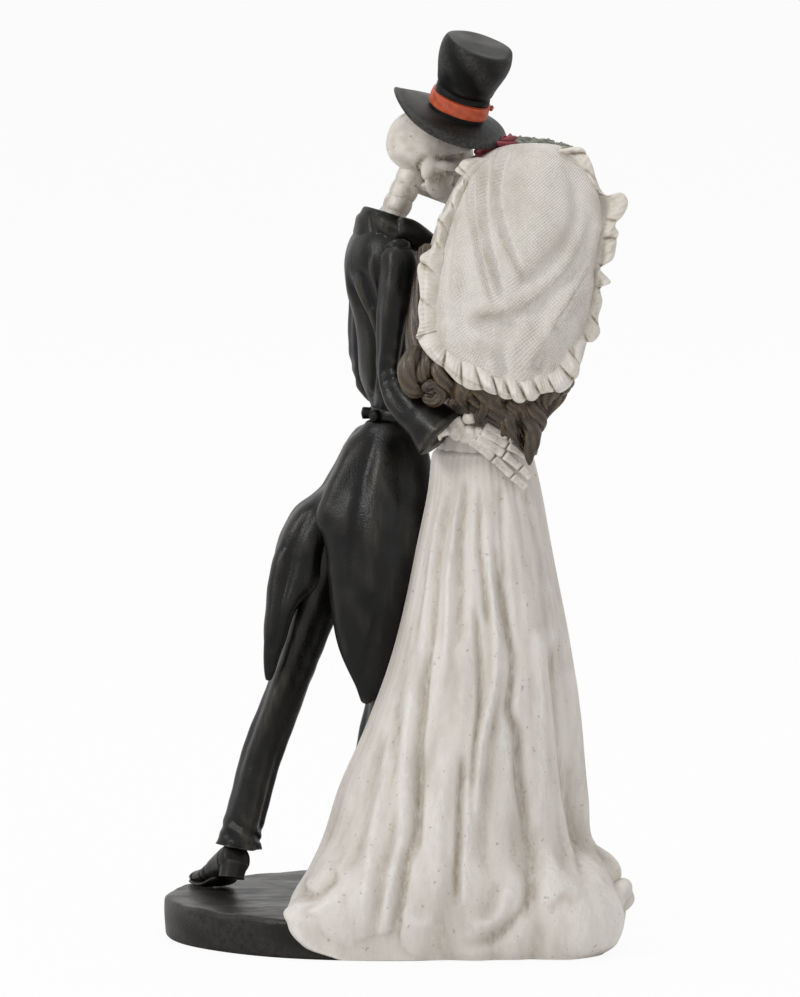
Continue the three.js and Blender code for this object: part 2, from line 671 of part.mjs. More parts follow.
piece("bride_shoulders", "bone", (grow) => {
  const [x, y, height] = brideShoulders;
  const half = shoulderWidth / 2;
  const levels = [
    [height - 12, x, y - 1, half * 0.84, 6.4],
    [height - 5, x, y - 0.6, half * 0.98, 6.6],
    [height + 0.5, x, y, half, 5.6],
    [height + 3.6, x + 0.8, y, half * 0.66, 4.4],
  ];
  return stack(levels, grow, { sides: 16 });
});

// Gown: a fitted bodice, then a skirt whose folds deepen from the waist to the pooled hem
piece("gown_bodice", "ivory", (grow) => {
  const [x, y, height] = brideWaist;
  const w = gownWaistWidth / 2;
  const d = gownWaistDepth;
  const levels = [
    [height - 4, x, y, w * 0.84, d * 0.86],
    [height + 4, x, y, w * 0.88, d * 0.9],
    [height + bodiceHeight * 0.26, x + 0.6, y + 0.6, w * 0.86, d * 0.88],
    [height + bodiceHeight * 0.6, x + 1.6, y + 3, w, d],
    [height + bodiceHeight * 0.86, x + 2.2, y + 5, w * 1.06, d * 1.02],
    [height + bodiceHeight * 0.98, x + 2.3, y + 5.6, w * 1.02, d * 0.8],
  ];
  return stack(levels, grow, { sides: 18 });
});
// Each fold is a groove: its angle round the skirt in degrees, its share of the full depth and its half width
const skirtFolds = [
  [-140, 0.8, 8], [-112, 1, 7], [-93, 0.5, 6], [-78, 0.6, 5], [-61, 1.2, 7], [-42, 0.5, 6], [-22, 1, 8],
  [0, 0.9, 8], [24, 1, 9], [48, 0.9, 9], [72, 1, 9], [96, 0.9, 9], [120, 1, 9], [144, 0.9, 9], [168, 1, 9],
  [-166, 0.9, 8],
];
function skirtFold(turn, t) {
  const angle = THREE.MathUtils.radToDeg(turn);
  const groove = skirtFolds.reduce((sum, [at, share, width]) => {
    const off = THREE.MathUtils.euclideanModulo(angle - at + 180, 360) - 180;
    return sum + share * Math.exp(-((off / width) ** 2));
  }, 0);
  return gownFoldDepth * (0.35 - groove) * (0.12 + 0.88 * t);
}
// Creases of the skirt's back: depth (a ridge below 0), half width, then x and height of points down the line
const skirtCreases = [
  [1.9, 2.4, [[10.3, 66], [8.6, 40], [8.2, 16], [4.1, 5]]],
  [1.9, 2.4, [[28.2, 92], [31.8, 56], [33.8, 35], [35.9, 14], [36.5, 4]]],
  [1.5, 2.4, [[39.6, 92], [43.3, 61], [46.6, 38], [51.6, 9]]],
  [1.3, 2, [[19.8, 46], [18.8, 19], [18.4, 2]]],
  [0.9, 2.6, [[0, 46], [-5.8, 29], [-13.5, 11]]],
  [-1.1, 2.2, [[8.8, 72], [5.9, 43], [4.9, 21], [0, 0]]],
  [-1.1, 2, [[25.3, 102], [27.6, 66], [23.4, 36], [23.1, 20]]],
  [-1, 2.6, [[35, 84], [38.9, 54], [42, 4]]],
  [-0.8, 1.8, [[2.5, 50], [-3.7, 10], [-4.4, 0]]],
];
const creaseFade = 8; // height over which a crease dies out at its ends and towards the hem
function skirtCrease(x, height) {
  return skirtCreases.reduce((sum, [depth, width, points]) => {
    const next = points.findIndex((point) => point[1] <= height);
    if (next < 1) return sum;
    const [[x0, h0], [x1, h1]] = [points[next - 1], points[next]];
    const middle = x0 + ((x1 - x0) * (h0 - height)) / (h0 - h1);
    const end = Math.min(points[0][1] - height, height - points[points.length - 1][1], height);
    const fade = THREE.MathUtils.clamp(end / creaseFade, 0, 1);
    return sum + depth * fade * Math.exp(-(((x - middle) / width) ** 2));
  }, 0);
}
// Rows of the skirt: share of its height, then shares of the flare to the left, to the right and in depth
const skirtRows = [
  [1, 0, 0, 0],
  [0.92, 0.03, 0.05, 0.09],
  [0.78, 0.12, 0.18, 0.28],
  [0.6, 0.24, 0.4, 0.5],
  [0.42, 0.44, 0.51, 0.68],
  [0.26, 0.68, 0.56, 0.82],
  [0.15, 0.8, 0.68, 0.9],
  [0.085, 0.88, 0.88, 0.97],
  [0, 1, 1, 1],
  [-0.06, 0.92, 0.94, 0.97],
  [-0.087, 0.76, 0.78, 0.93],
];
function skirt(grow) {
  const [x, y] = brideWaist;
  const narrow = gownWaistWidth / 2;
  const flare = gownHemWidth - gownWaistWidth;
  const leftFlare = flare * leftFlareShare;
  const rightFlare = flare * (1 - leftFlareShare);
  const deepen = gownHemDepth - gownWaistDepth;
  const levels = skirtRows.map(([share, toLeft, toRight, deep]) => {
    const left = x - narrow - leftFlare * toLeft;
    const right = x + narrow + rightFlare * toRight;
    const front = gownWaistDepth + deepen * deep;
    return [gownHeight * share, (left + right) / 2, y - 2 * deep, (right - left) / 2, front, front * 0.82];
  });
  const corner = (height) => 2 + 3.4 * Math.exp(-((Math.max(height, 0) / (0.1 * gownHeight)) ** 2));
  const fold = (turn, t, height, plainX) =>
    skirtFold(turn, 1 - t) - (Math.sin(turn) < 0 ? skirtCrease(plainX, height) : 0);
  return stack(levels.reverse(), grow, { sides: 72, fold, corner });
}
piece("gown_train_curl", "ivory", (grow) => {
  const flare = gownHemWidth - gownWaistWidth;
  const hemRight = brideWaist[0] + gownWaistWidth / 2 + flare * (1 - leftFlareShare);
  return limb([
    [hemRight - 12, -33.4, -3.6, 2.6, 2.4],
    [hemRight - 7.4, -29.6, -0.6, 3.8, 3.8],
    [hemRight - 3, -22, 3, 4.2, 4.8],
    [hemRight - 1.8, -14, 1.8, 3.4, 4.4],
    [hemRight - 3.2, -7, -1.4, 2.4, 3],
  ], grow, { sides: 12, across: [0, 0, 1] });
});
piece("gown_skirt", "ivory", skirt);

// Hair: a long fall down the back, and one loose curl past the veil's left edge
const curlWave = (turn, t, height) => 0.6 * Math.sin(7 * turn + 0.22 * height);
piece("hair_fall", "hairBrown", (grow) => {
  const [x, y, height] = brideWaist;
  const d = hairThickness / 2;
  const levels = [
    [height + 2, x + 11.6, y - 11.6, 1.8, 1.6],
    [height + 8, x + 10, y - 11.4, 4.6, 2.6],
    [height + 12, x + 8.6, y - 11.2, 10.5, 4],
    [height + 17, x + 6.5, y - 10.8, 15.4, 5],
    [height + 24, x + 5, y - 9.6, 17, 6],
    [height + 32, x + 4.8, y - 7.6, 17.2, 0.85 * d],
    [height + 42, x + 5.4, y - 4.4, 16.8, 0.95 * d],
    [height + 52, x + 6.6, y + 0.4, 15.2, d],
    [height + 61, x + 8.4, y + 4.4, 11.6, d],
    [height + 70, x + 10.4, y + 7.4, 10, 1.1 * d],
    [height + 77, x + 10.6, y + 7.8, 6.6, 0.8 * d],
  ];
  return stack(levels, grow, { sides: 14, fold: curlWave });
});
piece("hair_side_curl", "hairBrown", (grow) => {
  return limb([
    [11, -7, 164, 2, 2],
    [10, -10.4, 157, 2.4, 2.2],
    [9, -13, 149, 2.6, 2.6],
    [9.4, -16, 140, 4.2, 3.4],
    [11, -18.6, 132.6, 5.4, 3.8],
    [15.6, -20, 127, 2.6, 2.4],
  ], grow, { sides: 10, steps: 2, fold: twistFold(0.45, 2) });
});

// Veil: a shell over the head that hangs down the back, open towards the groom, with a ruffled border
const veilLevels = [
  [125.6, 31, 38.6, -22, 7],
  [129, 25, 44, -20.5, 9],
  [134, 16.6, 48, -18, 11],
  [141, 10.4, 50.4, -15, 13.6],
  [150, 9, 53, -12, 15],
  [160, 9.6, 54, -9, 15.6],
  [169, 12.6, 55.4, -6, 14.6],
  [177, 16, 54.6, -2.4, 12.6],
  [183.5, 20, 52.2, 0, 11.2],
  [187.2, 25.4, 47.4, 1, 8],
  [189.8, 31.6, 42.6, 1.4, 3.6],
];
const veilPleats = (turn, t) => 0.7 * Math.sin(13 * turn + 2 * t) * (1 - t);
function veilForm(grow) {
  const rows = veilLevels.map(([height, left, right, y, depth]) => {
    return [height, (left + right) / 2, y, (right - left) / 2, depth];
  });
  return stack(rows, grow, { sides: 24, fold: veilPleats });
}
// The space under the veil, open below and towards the groom
function underVeil(grow) {
  const rows = veilLevels.map(([height, left, right, y, depth], i) => {
    const wall = veilThickness + grow;
    const half = (right - left) / 2 - wall;
    const lower = i === 0 ? wall : 0;
    return [height - lower, (left + right) / 2, y, half, depth - wall, depth + bodiceHeight / 2];
  });
  rows[rows.length - 1][0] -= veilThickness + grow;
  return stack(rows, 0, { sides: 14 });
}
piece("veil", "ivory", (grow) => veilForm(grow).subtract(underVeil(grow)));

function ruffle(stations, waves, grow) {
  const r = ruffleDiameter / 2;
  const wave = (turn, t) => 0.9 * Math.sin(2 * Math.PI * waves * t) * Math.cos(turn);
  return limb(stations.map((s) => [...s, r, r * 0.7]), grow, { sides: 4, steps: 2, fold: wave });
}
const ruffleEdges = {
  left: [[22.4, -1, 185.4], [18, -3, 181], [14, -6, 172], [10.6, -9, 162], [10, -14, 150], [9.6, -18, 142.5]],
  right: [
    [47.4, 1, 187.6], [54.4, 0, 179], [57, -3, 171], [54.4, -7, 160], [53.4, -10, 150], [50.4, -14, 141],
  ],
  bottom: [[10.4, -21, 138], [17, -26, 132], [24, -29, 129], [33, -30, 127], [42, -27, 128], [48, -20, 134]],
};
for (const [edge, path] of Object.entries(ruffleEdges)) {
  piece(`veil_ruffle_${edge}`, "ivory", (grow) => ruffle(path, 6, grow));
}

// Wreath on the crown of the veil: a band, three roses and four leaves
const crownTop = moved(brideSkull, [0, 4.6, (0.85 * brideSkullLength) / 2 + 1]);
const roseSeats = [
  [-8.2, -0.6, -1],
  [-3.4, -0.4, 0.5],
  [-6, 4.2, -1.4],
];
roseSeats.forEach((seat, i) => {
  piece(`rose_${i + 1}`, "roseRed", (grow) => {
    const r = roseDiameter / 2;
    const petals = (turn, t) => 0.35 * Math.sin(5 * turn + 6 * t);
    const levels = [[-r * 0.8, 0.6], [-r * 0.3, 1], [r * 0.3, 1.02], [r * 0.7, 0.72], [r * 0.85, 0.3]].map(
      ([height, share]) => [height, 0, 0, r * share, r * share],
    );
    const frame = standing(moved(crownTop, seat), [seat[0], seat[1] * 2, 8]);
    return stack(levels, grow, { sides: 10, fold: petals }).transform(frame.elements);
  });
});
[0.6, 4, 7.6, 10.8].forEach((along, i) => {
  piece(`leaf_${i + 1}`, "leafGreen", (grow) => {
    const half = leafLength / 2;
    const place = moved(crownTop, [along, i % 2 ? -0.6 : 1.6, 1.5 - 0.012 * along * along]);
    const blade = limb([
      [-half, 0, 0, 0.08 * leafLength, 0.5],
      [-half * 0.2, 0, 0, 0.2 * leafLength, 0.9],
      [half, 0, 0, 0.05 * leafLength, 0.4],
    ], grow, { sides: 6, across: [0, 1, 0] });
    return blade.transform(facing(place, i % 2 ? -24 : 28, i % 2 ? 10 : -8, 24).elements);
  });
});
piece("wreath_band", "leafGreen", (grow) => {
  const r = wreathDiameter / 2;
  return limb([
    [...moved(crownTop, [-12.4, 2, -5.4]), r],
    [...moved(crownTop, [-6, 1.6, -1.4]), r],
    [...moved(crownTop, [1, 1.2, 0.3]), r],
    [...moved(crownTop, [8, 1.4, -0.8]), r],
    [...moved(crownTop, [13.6, 2, -5]), r],
  ], grow, { sides: 8 });
});

// Fit every piece to those before it, keep its main body and place it on the plinth
const meet = (a, b) => [0, 1, 2].every((k) => a.min[k] <= b.max[k] && b.min[k] <= a.max[k]);
const figurine = new THREE.Group();
figurine.name = "figurine";
figurine.position.z = baseThickness;
const fitted = [];
for (const { name, finish, make } of pieces) {
  let body = make(0);
  for (const earlier of fitted) {
    if (meet(earlier.boundingBox(), body.boundingBox())) body = body.subtract(earlier);
  }
  const parts = body.simplify(finestDetail).decompose();
  body = parts.reduce((largest, part) => (part.volume() > largest.volume() ? part : largest));
  fitted.push(make(glueGap));
  const { vertProperties, triVerts } = body.getMesh();
  const geometry = new THREE.BufferGeometry();
  geometry.setAttribute("position", new THREE.BufferAttribute(new Float32Array(vertProperties), 3));
  geometry.setIndex(new THREE.BufferAttribute(new Uint32Array(triVerts), 1));
  geometry.computeVertexNormals();
  const mesh = new THREE.Mesh(geometry, new THREE.MeshStandardMaterial(finishes[finish]));
  mesh.name = name;
  figurine.add(mesh);
}
export default figurine;
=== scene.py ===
# Skeleton wedding couple figurine: hand-painted cold-cast resin on an oval plinth.
# Shapes are worked out in millimetres above the plinth's top, and placed in metres.
import math
import bpy
import numpy as np
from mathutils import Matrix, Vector


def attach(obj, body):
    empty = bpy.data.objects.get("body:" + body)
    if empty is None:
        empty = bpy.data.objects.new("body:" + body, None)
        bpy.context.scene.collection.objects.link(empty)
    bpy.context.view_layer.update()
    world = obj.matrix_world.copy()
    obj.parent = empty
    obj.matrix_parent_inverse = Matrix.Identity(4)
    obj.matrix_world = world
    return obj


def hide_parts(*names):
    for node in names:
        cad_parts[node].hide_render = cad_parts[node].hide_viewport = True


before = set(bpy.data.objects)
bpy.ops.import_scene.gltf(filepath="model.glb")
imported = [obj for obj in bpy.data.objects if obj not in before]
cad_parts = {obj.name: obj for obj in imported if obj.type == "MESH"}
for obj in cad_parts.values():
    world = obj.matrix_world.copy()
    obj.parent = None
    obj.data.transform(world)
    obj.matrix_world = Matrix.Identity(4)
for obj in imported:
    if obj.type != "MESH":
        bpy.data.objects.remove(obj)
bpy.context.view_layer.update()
print("stage: frame loaded")

mm = 0.001
deckHeight = 10  # the plinth's top above the origin
tau = 2 * math.pi


# Smooth rows through the stations: each span is the Catmull-Rom cubic of its four nearest stations.
def smoothRows(stations, count):
    stations = np.asarray(stations, float)
    padded = np.vstack([2 * stations[0] - stations[1], stations, 2 * stations[-1] - stations[-2]])
    place = np.linspace(0, len(stations) - 1, count)
    span = np.minimum(place.astype(int), len(stations) - 2)
    t = (place - span)[:, None]
    a, b, c, d = (padded[span + k] for k in range(4))
    return 0.5 * (2 * b + (c - a) * t + (2 * a - 5 * b + 4 * c - d) * t**2
                  + (3 * b - a - 3 * c + d) * t**3)


def unit(vectors):
    return vectors / np.maximum(np.linalg.norm(vectors, axis=-1, keepdims=True), 1e-9)


def clamp(values):
    return np.clip(values, 0, 1)


# Bell: one in its middle; e to the power of less the square of the distance from there over the width
def bell(values, middle, width):
    return np.exp(-(((values - middle) / width) ** 2))


def ringAngles(count):
    return np.linspace(0, tau, count, endpoint=False)[None, :]


# Shares of the way along a form's rows, in one column
def rowShares(count, first=0, last=1):
    return np.linspace(first, last, count)[:, None]


# Turned grid: each row's radius carried round the upright axis at its height
def turned(radius, turn, height):
    return np.stack(np.broadcast_arrays(radius * np.cos(turn), radius * np.sin(turn), height), -1)


# Half sizes shrink to nothing over the first and last shares of a form, as the end of an egg does: by the
# root of one less the square of what is left of the share.
def roundEnds(t, first, last):
    start = clamp(t / max(first, 1e-6))
    end = clamp((1 - t) / max(last, 1e-6))
    return np.sqrt(1 - (1 - start) ** 2) * np.sqrt(1 - (1 - end) ** 2) + 1e-3


# Tube: an oval of the station's half sizes, plus the fold's extra, carried along the smooth path.
# A station is x, y, height, half across, half through; ends are the shares of the length that round off,
# and square turns the oval towards a box.
def tube(stations, rows=60, sides=32, across=(1, 0, 0), fold=None, ends=(0, 0), square=0):
    stations = [[*s, s[3]] if len(s) == 4 else s for s in stations]
    line = smoothRows(stations, rows)
    along = unit(np.gradient(line[:, :3], axis=0))
    side = [np.array(across, float)]
    for direction in along:  # the side is carried from row to row, so that it never flips
        side.append(unit(side[-1] - direction * np.dot(side[-1], direction)))
    side = np.array(side[1:])
    through = np.cross(along, side)
    turn = ringAngles(sides)
    t = rowShares(rows)
    extra = fold(turn, t) if fold else 0
    shrink = roundEnds(t, *ends) if max(ends) > 0 else 1
    c, s = np.cos(turn), np.sin(turn)
    if square:
        c, s = (np.sign(v) * np.abs(v) ** (1 - square) for v in (c, s))
    a = ((line[:, 3:4] + extra) * shrink * c)[..., None]
    b = ((line[:, 4:5] + extra) * shrink * s)[..., None]
    return line[:, None, :3] + a * side[:, None] + b * through[:, None]


# Stack: level ovals up a height. A level is height, x, y, half width, half depth in front and behind.
# The corner power squares the front: the reach is one over the power-th root of |cos|^power + |sin|^power.
def stack(levels, rows=80, sides=72, heading=0, fold=None, ends=(0, 0), corner=None):
    levels = [[*row, row[4]] if len(row) == 5 else row for row in levels]
    line = smoothRows(levels, rows)
    turn = ringAngles(sides)
    t = rowShares(rows)
    extra = fold(turn, t, line[:, 0:1]) if fold else 0
    shrink = roundEnds(t, *ends) if max(ends) > 0 else 1
    depth = np.where(np.sin(turn) < 0, line[:, 4:5], line[:, 5:6])
    reach = 1.0
    if corner:
        power = np.where(np.sin(turn) < 0, corner(line[:, 0:1]), 2)
        reach = (np.abs(np.cos(turn)) ** power + np.abs(np.sin(turn)) ** power) ** (-1 / power)
    u = (line[:, 3:4] + extra) * shrink * reach * np.cos(turn)
    v = (depth + extra) * shrink * reach * np.sin(turn)
    c, s = math.cos(math.radians(heading)), math.sin(math.radians(heading))
    height = np.broadcast_to(line[:, 0:1], u.shape)
    return np.stack([line[:, 1:2] + u * c - v * s, line[:, 2:3] + u * s + v * c, height], axis=-1)


# Hollow end: the last ring turns in over a wall and runs back down the inside.
def hollowEnd(grid, wall, depth):
    last = grid[-1]
    centre = last.mean(axis=0)
    back = unit(grid[-6].mean(axis=0) - centre)
    size = np.linalg.norm(last - centre, axis=1).mean()
    inner = centre + (last - centre) * (1 - wall / size)
    rows = [centre + (last - centre) * (1 - 0.45 * wall / size) - back * 0.25 * wall]
    rows += [inner + back * depth * share for share in (0.06, 0.4, 1)]
    return np.concatenate([grid, np.stack(rows)])


# Egg: a sphere's grid stretched to half sizes a, b, c round a centre, then turned by a matrix.
def egg(centre, sizes, matrix=None, rows=24, sides=32):
    polar = rowShares(rows, 0.02, math.pi - 0.02)
    turn = ringAngles(sides)
    ball = turned(np.sin(polar), turn, np.cos(polar))
    return placed(ball * np.array(sizes) + np.array(centre), matrix)


# A turn and a shift of local points: rows of the matrix are forward, left and up axes, then the origin.
def placed(points, matrix):
    return points if matrix is None else points @ matrix[:3] + matrix[3]


# Axes of a piece that heads along an angle in the level plane, nods down and leans, about an origin.
def facing(origin, heading, nod=0, roll=0):
    h, n, r = (math.radians(v) for v in (heading, nod, roll))
    forward = np.array([math.cos(h) * math.cos(n), math.sin(h) * math.cos(n), -math.sin(n)])
    level = np.array([-math.sin(h), math.cos(h), 0])
    upright = np.cross(forward, level)
    left = level * math.cos(r) + upright * math.sin(r)
    return np.stack([forward, left, np.cross(forward, left), np.array(origin, float)])


# Axes whose third one runs along a direction; the first is +X made square to it.
def standing(origin, direction):
    up = unit(np.array(direction, float))
    forward = unit(np.array([1, 0, 0]) - up * up[0])
    return np.stack([forward, np.cross(up, forward), up, np.array(origin, float)])


# Blur of a grid: five taps along both directions, twice; the sides wrap round, the rows stop at the ends.
def blurred(grid, reach):
    for _ in range(2):
        padded = np.pad(grid, ((reach, reach), (0, 0), (0, 0)), mode="edge")
        taps = [padded[reach + k: reach + k + len(grid)] for k in (-reach, -reach // 2, 0, reach // 2, reach)]
        grid = sum(taps) / 5
        grid = sum(np.roll(grid, k, axis=1) for k in (-reach, -reach // 2, 0, reach // 2, reach)) / 5
    return grid


def normalsOf(grid):
    around = np.roll(grid, -1, axis=1) - np.roll(grid, 1, axis=1)
    return unit(np.cross(around, np.gradient(grid, axis=0)))


# Relief of a grid: how far its blur stands off it along its normal, in mm; above nought is a hollow.
def reliefOf(grid, reach):
    return np.sum((blurred(grid, reach) - grid) * normalsOf(grid), axis=-1)


# Six times the volume in a shell: tetrahedra from its middle over the two triangles of each cell. It is
# below nought where the grid is inside out.
def volumeOf(grid):
    a, b = grid[:-1], np.roll(grid, -1, axis=1)[:-1]
    c, d = np.roll(grid, -1, axis=1)[1:], grid[1:]
    centre = grid.reshape(-1, 3).mean(axis=0)
    a, b, c, d = (v - centre for v in (a, b, c, d))
    return np.sum(a * np.cross(b, c)) + np.sum(a * np.cross(c, d))


# The name of most pieces: rose_1 gives rose1Cast
def castName(node):
    first, *rest = node.split("_")
    return first + "".join(word.title() for word in rest) + "Cast"


# Cloth of a grid: the distances round and along it from its first column and row, in mm
def clothOf(grid):
    along = np.cumsum(np.linalg.norm(np.diff(grid, axis=0, prepend=grid[:1]), axis=-1), axis=0)
    around = np.cumsum(np.linalg.norm(np.diff(grid, axis=1, prepend=grid[:, :1]), axis=-1), axis=1)
    return np.stack([around, along, 0 * along], -1)


# Piece: closed shells from grids, each with rings of quads and a fan on either end. The relief over its
# depth gives the attributes hollow and crest, from 0 to 1.
def makePiece(node, grids, paint, reach=3, reliefDepth=0.25, name=None):
    points, quads, fans, hollow, crest, cloth = [], [], [], [], [], []
    start = 0
    for grid in grids:
        rows, sides = grid.shape[:2]
        if volumeOf(grid) < 0:
            grid = grid[:, ::-1]
        relief = reliefOf(grid, reach)
        relief = relief - np.median(relief)
        index = start + np.arange(rows * sides).reshape(rows, sides)
        nextSide = np.roll(index, -1, axis=1)
        quads.append(np.stack([index[:-1], nextSide[:-1], nextSide[1:], index[1:]], -1).reshape(-1, 4))
        hubs = start + rows * sides
        fans.append(np.stack([np.full(sides, hubs), nextSide[0], index[0]], -1))
        fans.append(np.stack([np.full(sides, hubs + 1), index[-1], nextSide[-1]], -1))
        ends = np.stack([grid[0].mean(axis=0), grid[-1].mean(axis=0)])
        points.append(np.concatenate([grid.reshape(-1, 3), ends]))
        tone = np.concatenate([relief.ravel(), [relief[0].mean(), relief[-1].mean()]]) / reliefDepth
        hollow.append(clamp(tone))
        crest.append(clamp(-tone))
        flat = clothOf(grid).reshape(-1, 3)
        cloth.append(np.concatenate([flat, flat[[0, -1]]]))
        start += rows * sides + 2
    faces = np.concatenate(quads).tolist() + np.concatenate(fans).tolist()
    points, hollow, crest, cloth = (np.concatenate(part) for part in (points, hollow, crest, cloth))
    return finishPiece(node, points, faces, hollow, crest, cloth, paint, name)


def finishPiece(node, points, faces, hollow, crest, cloth, paint, name=None):
    mesh = bpy.data.meshes.new(name or castName(node))
    mesh.from_pydata(((points + (0, 0, deckHeight)) * mm).tolist(), [], faces)
    for label, values in (("hollow", hollow), ("crest", crest)):
        mesh.attributes.new(label, "FLOAT", "POINT").data.foreach_set("value", values.ravel())
    mesh.attributes.new("cloth", "FLOAT_VECTOR", "POINT").data.foreach_set("vector", cloth.ravel())
    mesh.polygons.foreach_set("use_smooth", np.ones(len(mesh.polygons), bool))
    mesh.materials.append(paints[paint])
    piece = addObject(mesh.name, mesh)
    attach(piece, "root")
    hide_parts(node)
    return piece


# Ripple: seven sine waves in fixed mixed directions, whose lengths lie about the given one, added up and
# divided so that the sum mostly stays between -1 and 1.
rippleCount = 7
rippleTurns = np.random.default_rng(7).normal(size=(rippleCount, 3))
rippleTurns = unit(rippleTurns) * np.linspace(0.7, 1.6, rippleCount)[:, None]


def ripple(grid, length, shift=0.0):
    phases = grid @ (rippleTurns.T * tau / length) + shift + np.arange(rippleCount) * 1.7
    return np.sin(phases).sum(axis=-1) / 3.2


# Ripples push a grid's points along its normals, by a depth in mm.
def rippled(grid, length, depth, shift=0.0):
    return grid + normalsOf(grid) * (ripple(grid, length, shift) * depth)[..., None]


# Line depth: in the x-height plane, each line (depth, width, points) adds its depth times a bell of the
# distance to its smooth path over its width; the bell fades to nothing over the ends of the path.
def lineDepth(lines, x, height):
    total = np.zeros(np.broadcast(x, height).shape)
    for depth, width, points in lines:
        path = smoothRows(points, 8 * len(points))
        best, place = np.full(total.shape, 1e3), np.zeros(total.shape)
        for number, ((x0, h0), (x1, h1)) in enumerate(zip(path[:-1], path[1:])):
            dx, dh = x1 - x0, h1 - h0
            share = clamp(((x - x0) * dx + (height - h0) * dh) / (dx * dx + dh * dh))
            reach = np.hypot(x - x0 - share * dx, height - h0 - share * dh)
            place = np.where(reach < best, (number + share) / (len(path) - 1), place)
            best = np.minimum(best, reach)
        fade = clamp(5 * np.minimum(place, 1 - place))
        total += depth * bell(best, 0, width) * fade * (2 - fade)
    return total


def toLinear(hexColour):
    channels = np.array([int(hexColour[i:i + 2], 16) for i in (1, 3, 5)]) / 255
    linear = np.where(channels <= 0.04045, channels / 12.92, ((channels + 0.055) / 1.055) ** 2.4)
    return (*linear.tolist(), 1.0)


def addNode(tree, kind, settings=None, links=None):
    node = tree.nodes.new(kind)
    for key, value in (settings or {}).items():
        if isinstance(key, int) or key in node.inputs:
            node.inputs[key].default_value = value
        else:
            setattr(node, key, value)
    for key, source in (links or {}).items():
        tree.links.new(source, node.inputs[key])
    return node


def addMaterial(name):
    material = bpy.data.materials.new(name)
    material.use_nodes = True
    material.node_tree.nodes.clear()
    return material, material.node_tree


def addObject(name, data):
    thing = bpy.data.objects.new(name, data)
    bpy.context.scene.collection.objects.link(thing)
    return thing


